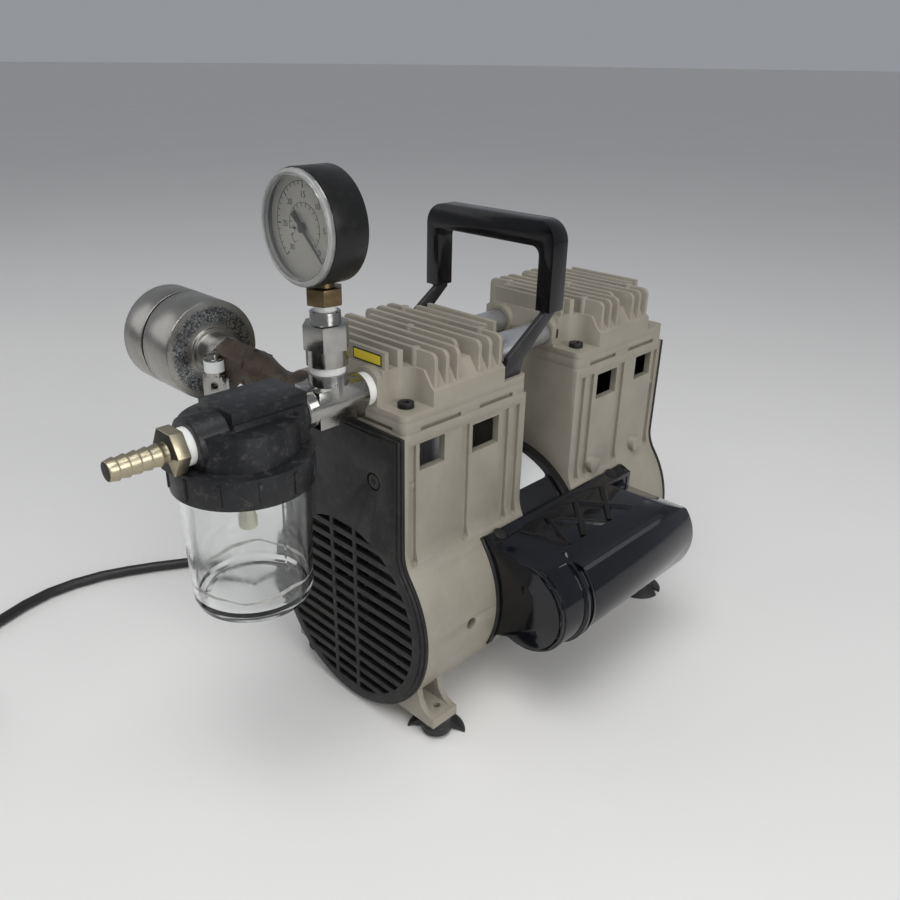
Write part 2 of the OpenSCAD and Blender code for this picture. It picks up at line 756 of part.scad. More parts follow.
// Capacitor and its pressed cover
// The cover's flat top, t below its outside, from the flange down to the round of the can
module cover_flat(t) {
  side = block_w / 2 + 12.5;
  far = can_x + can_r;
  drop = (far - side) * 0.088;
  polygon([[side, can_z + 29 - t], [far, can_z + 29 - t - drop], [far, can_z + 40], [side - 2,
    can_z + 40]]);
}
module cover_skin(r) {
  side = block_w / 2;
  difference() {
    union() {
      translate([can_x, can_z]) circle(r);
      polygon([[side - 0.5, can_z + 31.5], [side + 6, can_z + 31.5], [side + 12.5, can_z + 29],
        [can_x, can_z + 22], [can_x, can_z - 22], [side + 18.5, can_z - 28], [side + 10, can_z - 38],
        [side + 3.5, can_z - 38]]);
      translate([side + 12.5, can_z]) square([can_x - side - 12.5, 32]);
    }
    cover_flat(0);
    bell_outline(-gasket_t, deck_z);
  }
}
module cover_hollow(t, r) {
  side = block_w / 2;
  difference() {
    union() {
      translate([can_x, can_z]) circle(r);
      polygon([[side + 12.5, can_z + 29 - t], [can_x, can_z + 25 - t], [can_x, can_z - 20],
        [side + 18.5, can_z - 28 + t], [side + 12.5, can_z - 34 + t]]);
    }
    cover_flat(t);
    bell_outline(-gasket_t + 0.5, deck_z);
  }
}
// Slope that takes the flat top down towards the rear end, t below its outside
module cover_fall(t) {
  side = block_w / 2 + 13;
  translate([side, 0, 0]) rotate([90, 0, 90]) linear_extrude(can_x + can_r - side)
    polygon([[can_y1 - 30, can_z + 30 - t], [can_y1 + 1, can_z + 18 - t], [can_y1 + 1, can_z + 45],
      [can_y1 - 30, can_z + 45]]);
}
cap_screw_ys = [-49, 61];
cap_head_r = 4;
module at_cap_screw(y) {
  translate([block_w / 2 + 7.4, y, can_z + 29.4]) rotate([0, 24, 0]) children();
}
module capacitor_cover() {
  groove = can_y0 + 20;
  color("#0d0d10") difference() {
    union() {
      along_y(can_y0, can_y0 + 1.2) cover_skin(can_r - 4.2);
      along_y(can_y0 + 1.2, can_y0 + 3.2) cover_skin(can_r - 2.4);
      along_y(can_y0 + 3.2, groove) cover_skin(can_r - 1.4);
      along_y(groove, can_y1 - 6) cover_skin(can_r - 0.4);
      for (y = [groove, groove + 5]) along_y(y, y + 1.6) cover_skin(can_r + bead_h);
      along_y(groove + 8, can_y1 - 6) cover_skin(can_r);
      along_y(can_y1 - 6, can_y1 - 2) cover_skin(can_r - 1);
      along_y(can_y1 - 2, can_y1) cover_skin(can_r - 3);
    }
    cover_fall(0);
    difference() {
      along_y(can_y0 + sheet_t, can_y1 - sheet_t - 2) cover_hollow(sheet_t + 1.2, can_r - 2.4 - sheet_t);
      cover_fall(sheet_t + 1.2);
    }
    for (y = cap_screw_ys) at_cap_screw(y) {
      cylinder(r = 2.3, h = 30, center = true);
      cylinder(r = cap_head_r + 0.3, h = 9);
    }
  }
}
module capacitor() {
  x = can_x + can_r - 2.4 - sheet_t - cap_gap - cap_r;
  color("#c6c8ca") bar_y(cap_r, can_y0 + 6, can_y1 - 16, x, can_z);
  color("#222222") bar_y(cap_r - 3, can_y0 + 3, can_y0 + 6, x, can_z);
  color("#c9a24a") for (s = [-1, 1]) bar_y(1.5, can_y0 + 1.6, can_y0 + 3, x + s * 8, can_z);
}
module cover_gasket() {
  color("#1b1b1b") for (y = [[can_y0 - 1.5, can_y0 + 3], [can_y1 - 3, can_y1 + 0.5]]) along_y(y[0], y[1])
    difference() {
      intersection() {
        bell_outline(-gasket_t, deck_z);
        translate([block_w / 2 + 1.5, can_z - 37.5]) square([30, 68.5]);
      }
      bell_outline(0, deck_z);
    }
}
module capacitor_screws() {
  color("#26262a") for (y = cap_screw_ys) at_cap_screw(y) {
    translate([0, 0, -9.5]) cylinder(r = 2, h = 9.5);
    cylinder(r = cap_head_r, h = 1.8);
  }
}

// Rubber suction feet
module suction_cup() {
  rotate_extrude() polygon([[foot_hole, 3.2], [foot_hub_r, 2.6], [13.5, 1.2], [foot_rim - 0.8, 0],
    [foot_rim, 0],
    [foot_rim, 0.9], [14, 3.2], [10, 5.4], [foot_hub_r, 7.6], [foot_hub_r, cup_h], [4.05, cup_h],
    [4.05, cup_h - 3.05], [foot_hole, cup_h - 3.05]]);
}
// Cut in a cup, pointing along +X: a narrow V, or the front half where the rubber is gone
module cup_notch(half_gone) {
  out = foot_rim + 2;
  translate([0, 0, -skin]) difference() {
    linear_extrude(cup_h - 2) polygon(half_gone ? [[0, -out], [out, -out], [out, out], [0, out]] :
      [[9, 0], [out, -3.4], [out, 3.4]]);
    if (half_gone) bar_z(foot_hub_r + 0.6, -skin, cup_h);
  }
}
module suction_feet() {
  color("#141414") for (c = [[foot_x, 1, 8], [-foot_x_left, 1, 172], [foot_x, -1, -53], [-foot_x_left,
    -1, 233]])
    translate([c[0], c[1] * foot_y, 0]) difference() {
      suction_cup();
      rotate([0, 0, c[2]]) cup_notch(c[1] < 0);
    }
}

// Inlet plumbing
module pipe_cross() {
  side = 9.2;
  color("#b9bcbe") difference() {
    union() {
      bar_y(9.6, cross_y - 17.5, cross_y + 17.5, pipe_x, port_z);
      bar_z(9.3, port_z, port_z + 14.5, pipe_x, cross_y);
      bar_x(8.6, pipe_x - 13, pipe_x, cross_y, port_z);
      box(pipe_x - side, pipe_x + side, cross_y - 12.5, cross_y + 14.5, port_z - side - 0.2,
        port_z + side - 0.2);
      bar_y(thread_r, cross_y - 28, cross_y - 15, pipe_x, port_z);
      bar_y(thread_r, cross_y + 15, cross_y + cross_out + 8, pipe_x, port_z);
      bar_z(thread_r, port_z + 13, port_z + 22, pipe_x, cross_y);
    }
    bar_y(5, cross_y - 29, cross_y + cross_out + 9, pipe_x, port_z);
    bar_z(4.7, port_z, port_z + 23, pipe_x, cross_y);
    bar_x(4.4, pipe_x - 14, pipe_x, cross_y, port_z);
  }
}
module tape_z(r, z0, z1, x, y) {
  tube_z(r + tape_t, r + eps, z0, z1, x, y);
}
module thread_tape() {
  color("#f2f2ee") {
    tube_y(thread_r + tape_t, thread_r + eps, cross_y + 17.5, cross_y + cross_out + 7, pipe_x, port_z);
    tube_y(thread_r + tape_t, thread_r + eps, cross_y - 27, cross_y - 17.5, pipe_x, port_z);
    tape_z(thread_r, port_z + 14.5, port_z + 21, pipe_x, cross_y);
    tape_z(4.2, gauge_z - 37.6, gauge_z - 33.6, pipe_x, cross_y);
    tube_y(thread_r + tape_t, thread_r + eps, trap_y - 29.5, trap_y - 19, pipe_x, port_z);
  }
}
adapter_z0 = port_z + 18.5;
adapter_top = gauge_z - 37.6;
module gauge_adapter() {
  hex_lo = adapter_z0 + 8;
  hex_hi = adapter_top - 5.5;
  color("#c3c6c8") translate([pipe_x, cross_y, 0]) difference() {
    union() {
      bar_z(9.75, adapter_z0, hex_lo + eps);
      rotate([0, 0, 15]) hex_z(19.7, hex_lo, hex_hi);
      bar_z(7.15, hex_hi - eps, adapter_top);
      bar_z(4.2, adapter_top - 4, adapter_top + 6);
    }
    bar_z(thread_r + tape_t + eps, adapter_z0 - skin, adapter_z0 + 4);
    bar_z(2.4, adapter_z0, adapter_top + 7);
  }
}
module gauge_stem() {
  z0 = gauge_z - 34.3;
  top = gauge_z - gauge_r + 4;
  color("#7c6238") translate([pipe_x, cross_y, 0]) difference() {
    union() {
      rotate([0, 0, 20]) hex_z(15.4, z0, z0 + 7.7);
      bar_z(4.8, z0, top);
    }
    bar_z(5.2 + eps, z0 - 1, z0 + 0.75);
    bar_z(4.2 + eps, z0 - 1, z0 + 3);
    bar_z(1.5, z0, top - 2);
  }
}
module gauge_case() {
  wall = 1.5;
  color("#141415") difference() {
    bar_y(gauge_r, gauge_front + 2, gauge_back, pipe_x, gauge_z);
    bar_y(gauge_r - wall, gauge_front, gauge_back - wall, pipe_x, gauge_z);
    bar_z(4.8 + eps, gauge_z - gauge_r - 1, gauge_z - gauge_r + 8, pipe_x, cross_y);
  }
}
module gauge_lens() {
  r = gauge_r - 0.4;
  color([0.85, 0.88, 0.9, 0.4]) translate([pipe_x, gauge_front + 2, gauge_z]) rotate([90, 0, 0])
    rotate_extrude()
    polygon([[0, 1.6], [r - 3, 1.2], [r - 2.6, 0], [r, 0], [r, 1.4], [r - 1.4, 2.6], [r - 3, 2.4], [0, 3]]);
}
dial_y = gauge_front + 5.5;
module gauge_dial() {
  color("#9a9a98") difference() {
    union() {
      bar_y(gauge_r - 1.5 - eps, dial_y, dial_y + 0.8, pipe_x, gauge_z);
      bar_y(3, dial_y + 0.8, gauge_back - 1.5, pipe_x, gauge_z);
    }
    bar_y(0.75, dial_y - skin, dial_y + 5, pipe_x, gauge_z);
  }
}
needle_len = gauge_r - 6.5;
module gauge_needle() {
  color("#1c1c1c") translate([pipe_x, 0, gauge_z]) {
    bar_y(0.7, dial_y - 1, dial_y + 4);
    bar_y(2.1, dial_y - 2.4, dial_y - 0.8);
    rotate([0, 45, 0]) along_y(dial_y - 1.9, dial_y - 1.3)
      polygon([[-8, -1.5], [-8, 1.5], [0, 0.9], [needle_len, 0.25], [needle_len, -0.25], [0, -0.9]]);
  }
}

// Liquid trap
module trap_head() {
  drum_z = collar_z + 14;
  color("#191a1c") difference() {
    union() {
      bar_z(collar_r, collar_z, drum_z, pipe_x, trap_y);
      for (a = [10:30:340]) translate([pipe_x, trap_y, 0]) rotate([0, 0, a])
        box(collar_r - 0.5, collar_r + 0.7, -0.7, 0.7, collar_z + 2, drum_z - 2);
      bar_z(26, drum_z, port_z + 6, pipe_x, trap_y);
      box(pipe_x - 13, pipe_x + 13, trap_y - 11, trap_y + 27.5, drum_z - 2, port_z + 13.8);
      box(pipe_x - 14.2, pipe_x + 14.2, trap_y - 11, trap_y + 25, drum_z - 2, port_z + 8.7);
      bar_y(12.5, trap_y - 25.5, trap_y - 10, pipe_x, port_z);
      box(pipe_x - 11, pipe_x + 11, trap_y - 23.5, trap_y - 15, drum_z - 2, port_z);
      bar_y(13, trap_y + 15, trap_y + 29, pipe_x, port_z);
    }
    bar_z(bowl_r + 0.4, collar_z - skin, collar_z + 11.6, pipe_x, trap_y);
    bar_y(thread_r + tape_t + eps, trap_y - 30, trap_y - 14, pipe_x, port_z);
    bar_y(thread_r + tape_t + eps, trap_y + 20, trap_y + 30, pipe_x, port_z);
    bar_y(4, trap_y - 15, trap_y - 12, pipe_x, port_z);
    bar_y(4, trap_y - 1, trap_y + 21, pipe_x, port_z);
    bar_z(4 + eps, collar_z + 8, port_z + 3, pipe_x, trap_y);
    bar_z(3, collar_z + 8, port_z + 2, pipe_x, trap_y - 13);
  }
}
module trap_bowl() {
  top = collar_z + 10.2;
  low_r = bowl_r - 2;
  w = 2.2;
  color([0.8, 0.84, 0.86, 0.35]) translate([pipe_x, trap_y, 0]) rotate_extrude($fn = 96)
    polygon([[0, bowl_z + 2.4], [low_r - 8, bowl_z + 1], [low_r - 4, bowl_z], [low_r - 1.2, bowl_z + 0.8],
      [low_r, bowl_z + 4], [bowl_r, collar_z - 4], [bowl_r, top], [bowl_r - 2.9, top],
      [bowl_r - 2.9, collar_z - 4], [low_r - w, bowl_z + 6], [low_r - w - 4, bowl_z + 4.6], [0,
        bowl_z + 4.8]]);
}
module trap_nozzle() {
  color("#cfcfae") difference() {
    union() {
      bar_z(4, collar_z - 10, port_z - 6, pipe_x, trap_y);
      bar_z(6, collar_z + 8.6, collar_z + 11.6, pipe_x, trap_y);
    }
    bar_z(2, collar_z - 11, port_z, pipe_x, trap_y);
  }
}
module hose_barb() {
  y0 = trap_y - barb_out + barb_l;
  color("#b39b62") difference() {
    union() {
      bar_y(thread_r, y0, trap_y - 18, pipe_x, port_z);
      translate([pipe_x, y0, port_z]) rotate([90, 0, 0]) cylinder(r = 10.8, h = 6, $fn = 6);
      bar_y(4.3, y0 - barb_l, y0 - 5, pipe_x, port_z);
      for (i = [0:4]) translate([pipe_x, y0 - 9 - i * 4.6, port_z]) rotate([90, 0, 0])
        cylinder(r1 = 5.1, r2 = 4.3, h = 4);
    }
    bar_y(2.9, y0 - barb_l - 1, trap_y - 17, pipe_x, port_z);
  }
}

// Side branch with relief valve and filter
valve_c = [branch_x - neck_l - 20, branch_y - 13.4];
valve_turn = 47;
module branch_hex(r) {
  translate([branch_x - neck_l, branch_y, port_z]) rotate([0, -90, 0]) cylinder(r = r, h = hex_l, $fn = 6);
}
module branch_fitting() {
  x0 = branch_x;
  color("#5b4a36") difference() {
    union() {
      translate([x0, branch_y, port_z]) rotate([0, -90, 0]) rotate_extrude()
        polygon([[3, 0], [8.6, 0], [9.1, 3], [8.9, 10], [7, 14], [5.6, 19], [5.6, 25], [7.2, 33], [9.4, 41],
          [10.2, neck_l], [3, neck_l]]);
      branch_hex(branch_hex_r);
    }
    bar_x(3, x0 - neck_l - hex_l - 1, x0 + 1, branch_y, port_z);
    bar_y(2, branch_y - 20, branch_y, valve_c[0], port_z - 4);
  }
}
module relief_valve() {
  top = port_z - 4;
  color("#b7babc") {
    difference() {
      translate([valve_c[0], valve_c[1], 0]) {
        rotate([0, 0, valve_turn]) difference() {
          box(-6, 6, -3.5, 3.5, top - 11, top);
          bar_y(1.9, -4.5, 1, 0, top - 5.5);
        }
        bar_z(5.2, top - 1, top + 8.5);
        bar_z(3.4, top + 8, top + 11);
      }
      branch_hex(branch_hex_r + eps);
    }
    bar_y(1.9, valve_c[1], branch_y - 4, valve_c[0], port_z - 4);
  }
}
module filter_can() {
  color("#b5b8ba") difference() {
    union() {
      bar_x(filter_r, filter_x - filter_body, filter_x, branch_y, port_z);
      bar_x(10.8, filter_x, filter_x + hub_l, branch_y, port_z);
      bar_x(13, filter_x, filter_x + 1.8, branch_y, port_z);
    }
    bar_x(filter_r - 1.2, filter_x - filter_body - skin, filter_x - 1.2, branch_y, port_z);
    bar_x(3, filter_x - 2, filter_x + hub_l + 1, branch_y, port_z);
  }
}
module filter_cap() {
  x1 = filter_x - filter_body - filter_slot;
  color("#a3a5a6") difference() {
    bar_x(filter_r, filter_x - filter_len, x1, branch_y, port_z);
    bar_x(filter_r - 1.2, filter_x - filter_len + 1.2, x1 + 1, branch_y, port_z);
  }
}
module filter_element() {
  color("#2a2723") difference() {
    bar_x(filter_r - 1.5, filter_x - filter_len + 1.2, filter_x - 1.2, branch_y, port_z);
    bar_x(12, filter_x - filter_len + 3, filter_x, branch_y, port_z);
  }
}

// Power cord: strain relief, free stretch, stored coil and plug
coil_c = [-150, -330];
coil_turns = 3;
coil_step = cord_d + 0.7;
coil_r0 = 46;
coil_rings = 24;
coil_total = 2 * coil_turns * coil_rings;
lift_rings = coil_rings / 2;
flat_z = cord_r + 0.2;
relief_len = 25;
tail_step = 8;
route = [
  [-88, 0, 36], [-91, 0, 36], [-97, -4, 33.5], [-104, -9, 28.5], [-112, -14, 21], [-122, -22, 13],
    [-133, -32, 7],
  [-145, -45, 4.2], [-158, -63, flat_z], [-170, -82, flat_z], [-181, -101, flat_z], [-192, -120, flat_z],
  [-202, -137, flat_z], [-211, -155, flat_z], [-218, -172, flat_z], [-222, -190, flat_z],
  [-223, -208, flat_z], [-220, -226, flat_z], [-214, -244, flat_z], [-208, -262, flat_z],
  [-202, -280, flat_z], [-198, -298, flat_z], [-196, -314, flat_z], [-196, -330, flat_z]
];
// Place of ring i of the coil: in for half the turns, a climb in the middle, and out again
function coil_in(i) = i <= coil_total / 2 ? i : coil_total - i;
function coil_rad(i) = coil_r0 - coil_step * coil_in(i) / coil_rings;
function coil_climb(i) = min(1, max(0, (i - coil_total / 2 + lift_rings / 2) / lift_rings));
function coil_pt(i) = [
  coil_c[0] + coil_rad(i) * cos(180 + i * 360 / coil_rings),
  coil_c[1] + coil_rad(i) * sin(180 + i * 360 / coil_rings),
  flat_z + coil_step * coil_climb(i)
];
coil_last = coil_pt(coil_total);
coil_pts = concat([for (i = [0:coil_total]) coil_pt(i)], [for (k = [1:5]) coil_last + [0,
  -k * tail_step, 0]]);
function unit(v) = v / norm(v);
function tangent(p, i) = unit(p[min(i + 1, len(p) - 1)] - p[max(i - 1, 0)]);
// Tube of n sides swept along the points p
module swept_tube(p, r, n) {
  m = len(p);
  ring_pts = [for (i = [0:m - 1]) let (t = tangent(p, i), s = unit(cross([0, 0, 1], t)), u = cross(t, s))
    for (k = [0:n - 1]) p[i] + r * (cos(k * 360 / n) * s + sin(k * 360 / n) * u)];
  sides = [for (i = [0:m - 2], k = [0:n - 1]) let (a = i * n + k, b = i * n + (k + 1) % n)
    each [[a, b, a + n], [b, b + n, a + n]]];
  cap0 = [for (k = [1:n - 2]) [0, k + 1, k]];
  cap1 = [for (k = [1:n - 2]) [(m - 1) * n, (m - 1) * n + k, (m - 1) * n + k + 1]];
  polyhedron(points = ring_pts, faces = concat(sides, cap0, cap1));
}
coil_gap = min([for (i = [0:coil_total], j = [0:coil_total]) if (j - i > lift_rings)
  norm(coil_pt(i) - coil_pt(j))]) - cord_d;
echo(coil_least_gap_mm = coil_gap);
module power_cord() {
  color("#101010") swept_tube(route, cord_r, 8);
}
module cord_coil() {
  color("#101010") swept_tube(coil_pts, cord_r, 6);
}
module strain_relief() {
  z = route[0][2];
  tip = route[0][0];
  color("#101010") difference() {
    union() {
      translate([tip, 0, z]) rotate([0, 90, 0]) cylinder(r1 = cord_r + 1, r2 = cord_r + 3, h = relief_len);
      bar_x(9, tip + relief_len - 3, -stator_r + 15, 0, z);
    }
    bar_y(stator_r + eps, -30, 30, 0, shaft_z);
  }
}
plug_y = coil_last[1] - 5 * tail_step;
module mains_plug() {
  body = 34;
  color("#101010") difference() {
    union() {
      translate([coil_last[0], plug_y - body / 2 - 8, coil_last[2]]) rotate([90, 0, 0])
        translate([0, 0, -body / 2]) linear_extrude(body) round_rect(24, 2 * coil_last[2] - 0.6, 6);
      translate([coil_last[0], plug_y, coil_last[2]]) rotate([90, 0, 0]) cylinder(r1 = cord_r + 1,
        r2 = 8, h = 8);
    }
  }
  color("#c8b878") for (s = [-1, 1])
    box(coil_last[0] + s * 6.35 - 0.75, coil_last[0] + s * 6.35 + 0.75, plug_y - body - 8 - 17,
      plug_y - body - 8, coil_last[2] - 3.2, coil_last[2] + 3.2);
}

placed() housing_front();
placed() housing_rear();
placed() fan_cover_front();
placed() fan_cover_rear();
placed() cover_screws();
placed() stator();
placed() stator_windings();
placed() rotor();
placed() motor_shaft();
placed() shaft_bearings();
placed() eccentric_front();
placed() eccentric_rear();
placed() rod_front();
placed() rod_rear();
placed() rod_bearing_front();
placed() rod_bearing_rear();
placed() piston_cup_front();
placed() piston_cup_rear();
placed() cup_clamp_front();
placed() cup_clamp_rear();
placed() fan_front();
placed() fan_rear();
placed() cylinder_sleeves();
placed() valve_plate_front();
placed() valve_plate_rear();
placed() reed_valves();
placed() seal_rings();
placed() head_front();
placed() head_rear();
placed() head_screws();
placed() transfer_tubes();
placed() through_bolts();
placed() handle_strap();
placed() handle_grip();
placed() capacitor();
placed() capacitor_cover();
placed() cover_gasket();
placed() capacitor_screws();
placed() suction_feet();
placed() pipe_cross();
placed() thread_tape();
placed() gauge_adapter();
placed() gauge_stem();
placed() gauge_case();
placed() gauge_lens();
placed() gauge_dial();
placed() gauge_needle();
placed() trap_head();
placed() trap_bowl();
placed() trap_nozzle();
placed() hose_barb();
placed() branch_fitting();
placed() relief_valve();
placed() filter_can();
placed() filter_cap();
placed() filter_element();
placed() power_cord();
placed() cord_coil();
placed() strain_relief();
placed() mains_plug();
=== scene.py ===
import json
import math

import bmesh
import bpy
from mathutils import Matrix, Vector


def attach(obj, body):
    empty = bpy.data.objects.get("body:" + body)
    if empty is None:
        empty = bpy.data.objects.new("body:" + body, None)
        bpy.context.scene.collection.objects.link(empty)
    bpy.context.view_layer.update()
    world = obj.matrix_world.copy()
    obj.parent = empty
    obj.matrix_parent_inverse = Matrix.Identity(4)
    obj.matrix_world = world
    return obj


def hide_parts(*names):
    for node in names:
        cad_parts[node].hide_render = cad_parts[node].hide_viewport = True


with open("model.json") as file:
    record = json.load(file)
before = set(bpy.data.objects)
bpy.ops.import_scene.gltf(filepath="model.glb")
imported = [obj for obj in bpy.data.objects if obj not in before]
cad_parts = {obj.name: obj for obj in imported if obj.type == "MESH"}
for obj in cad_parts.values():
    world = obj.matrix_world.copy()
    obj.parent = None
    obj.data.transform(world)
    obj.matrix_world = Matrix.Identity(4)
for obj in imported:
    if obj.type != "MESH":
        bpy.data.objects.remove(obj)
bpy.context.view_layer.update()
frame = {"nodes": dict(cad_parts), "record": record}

RECORD = frame["record"]
NODE_BODY = {n: b for b, nodes in RECORD["behaviour"]["bodies"].items() for n in nodes}
NODE_SLOT = {s["node"]: s["material_slot"] for s in RECORD["subparts"]}

# Places below are in millimetres from the point on the floor that is under the shaft, midway between the
# two housings; this moves them to the row's origin
ORIGIN_SHIFT = (11.6, 63.75, 0.0)
MM = 0.001


def at(x, y, z):
    return Vector(((x + ORIGIN_SHIFT[0]) * MM, (y + ORIGIN_SHIFT[1]) * MM, (z + ORIGIN_SHIFT[2]) * MM))


# Main places and sizes in millimetres
SHAFT_Z = 64.5
PORT_X = 17.0
PORT_Z = 199.5
CROSS_Y = -138.6
TRAP_Y = -188.3
GAUGE_Z = 280.6
DIAL_Y = -147.0
LENS_Y = -152.5
VALVE_X, VALVE_Y = -62.0, -152.0
FILTER_R = 28.0
STATOR_R = 59.0

# Sockets of a Mix node that blends two colours
MIX_FACTOR, MIX_A, MIX_B, MIX_COLOUR = 0, 6, 7, 2


# Materials
def new_material(name):
    mat = bpy.data.materials.new(name)
    mat.use_nodes = True
    return mat, mat.node_tree.nodes, mat.node_tree.links


def noise_node(nodes, links, scale, detail, rough):
    coord = nodes.new("ShaderNodeTexCoord")
    tex = nodes.new("ShaderNodeTexNoise")
    tex.inputs["Scale"].default_value = scale
    tex.inputs["Detail"].default_value = detail
    tex.inputs["Roughness"].default_value = rough
    links.new(coord.outputs["Object"], tex.inputs["Vector"])
    return tex


def ramp_node(nodes, links, source, stops):
    ramp = nodes.new("ShaderNodeValToRGB")
    elements = ramp.color_ramp.elements
    while len(elements) < len(stops):
        elements.new(0.5)
    for element, (pos, colour) in zip(elements, stops):
        element.position = pos
        element.color = (*colour, 1.0)
    links.new(source, ramp.inputs["Fac"])
    return ramp


def grey(v):
    return (v, v, v)


def shade(colour, factor):
    return tuple(min(1.0, c * factor) for c in colour)


# Fine specks of dust, and the height in metres of a surface's fine texture
DUST_COLOUR = (0.42, 0.40, 0.37, 1)
DUST_SCALE = 220
GRAIN_HEIGHT = 0.0004


def surface(name, colour, rough=0.5, metallic=0.0, vary=0.12, vary_scale=60, rough_vary=0.08, bump=0.0,
            bump_scale=900, coat=0.0, dust=0.0, alpha=1.0, spec=0.5):
    """A painted, plated or moulded surface with patchy colour, uneven gloss and a fine texture."""
    mat, nodes, links = new_material(name)
    bsdf = nodes["Principled BSDF"]
    bsdf.inputs["Metallic"].default_value = metallic
    patches = noise_node(nodes, links, vary_scale, 5, 0.6)
    tones = ramp_node(nodes, links, patches.outputs["Fac"],
                      [(0.3, shade(colour, 1 - vary)), (0.7, shade(colour, 1 + vary))])
    base = tones.outputs["Color"]
    if dust:
        specks = noise_node(nodes, links, DUST_SCALE, 8, 0.75)
        mask = ramp_node(nodes, links, specks.outputs["Fac"], [(0.52, grey(0)), (0.72, grey(dust))])
        mix = nodes.new("ShaderNodeMix")
        mix.data_type = "RGBA"
        links.new(mask.outputs["Color"], mix.inputs[MIX_FACTOR])
        links.new(base, mix.inputs[MIX_A])
        mix.inputs[MIX_B].default_value = DUST_COLOUR
        base = mix.outputs[MIX_COLOUR]
    links.new(base, bsdf.inputs["Base Color"])
    gloss = noise_node(nodes, links, vary_scale * 2.3, 6, 0.65)
    low, high = max(0.02, rough - rough_vary), min(1.0, rough + rough_vary)
    spread = ramp_node(nodes, links, gloss.outputs["Fac"], [(0.25, grey(low)), (0.75, grey(high))])
    links.new(spread.outputs["Color"], bsdf.inputs["Roughness"])
    if bump:
        grain = noise_node(nodes, links, bump_scale, 3, 0.6)
        node = nodes.new("ShaderNodeBump")
        node.inputs["Strength"].default_value = bump
        node.inputs["Distance"].default_value = GRAIN_HEIGHT
        links.new(grain.outputs["Fac"], node.inputs["Height"])
        links.new(node.outputs["Normal"], bsdf.inputs["Normal"])
    bsdf.inputs["Specular IOR Level"].default_value = spec
    bsdf.inputs["Coat Weight"].default_value = coat
    bsdf.inputs["Coat Roughness"].default_value = 0.05
    bsdf.inputs["Alpha"].default_value = alpha
    return mat


def clear_plastic(name, tint, rough, haze, haze_scale):
    """Clear moulded plastic with a cloudy film."""
    mat, nodes, links = new_material(name)
    bsdf = nodes["Principled BSDF"]
    bsdf.inputs["Base Color"].default_value = (*tint, 1)
    bsdf.inputs["IOR"].default_value = 1.47
    bsdf.inputs["Transmission Weight"].default_value = 1.0
    film = noise_node(nodes, links, haze_scale, 6, 0.7)
    spread = ramp_node(nodes, links, film.outputs["Fac"], [(0.45, grey(rough)), (0.8, grey(rough + haze))])
    links.new(spread.outputs["Color"], bsdf.inputs["Roughness"])
    return mat


def spangled_zinc(name):
    """Zinc plating: bright and brushed, with dark speckles on a ring of the can's end face."""
    mat, nodes, links = new_material(name)
    bsdf = nodes["Principled BSDF"]
    bsdf.inputs["Metallic"].default_value = 1.0
    coord = nodes.new("ShaderNodeTexCoord")
    away = nodes.new("ShaderNodeVectorMath")
    away.operation = "SUBTRACT"
    away.inputs[1].default_value = at(0, CROSS_Y, PORT_Z)
    flat = nodes.new("ShaderNodeVectorMath")
    flat.operation = "MULTIPLY"
    flat.inputs[1].default_value = (0, 1 / MM / FILTER_R, 1 / MM / FILTER_R)
    size = nodes.new("ShaderNodeVectorMath")
    size.operation = "LENGTH"
    links.new(coord.outputs["Object"], away.inputs[0])
    links.new(away.outputs["Vector"], flat.inputs[0])
    links.new(flat.outputs["Vector"], size.inputs[0])
    ring = ramp_node(nodes, links, size.outputs["Value"],
                     [(0.50, grey(0)), (0.60, grey(1)), (0.84, grey(1)), (0.90, grey(0))])
    cells = nodes.new("ShaderNodeTexVoronoi")
    cells.inputs["Scale"].default_value = 1300
    links.new(coord.outputs["Object"], cells.inputs["Vector"])
    tones = [(0.15, (0.05, 0.055, 0.06)), (0.55, (0.20, 0.205, 0.21)), (0.95, (0.48, 0.485, 0.48))]
    specks = ramp_node(nodes, links, cells.outputs["Color"], tones)
    patches = noise_node(nodes, links, 60, 5, 0.6)
    plain = ramp_node(nodes, links, patches.outputs["Fac"],
                      [(0.3, (0.30, 0.29, 0.27)), (0.7, (0.40, 0.39, 0.365))])
    mix = nodes.new("ShaderNodeMix")
    mix.data_type = "RGBA"
    links.new(ring.outputs["Color"], mix.inputs[MIX_FACTOR])
    links.new(plain.outputs["Color"], mix.inputs[MIX_A])
    links.new(specks.outputs["Color"], mix.inputs[MIX_B])
    links.new(mix.outputs[MIX_COLOUR], bsdf.inputs["Base Color"])
    rough = ramp_node(nodes, links, patches.outputs["Fac"], [(0.2, grey(0.22)), (0.8, grey(0.36))])
    links.new(rough.outputs["Color"], bsdf.inputs["Roughness"])
    return mat


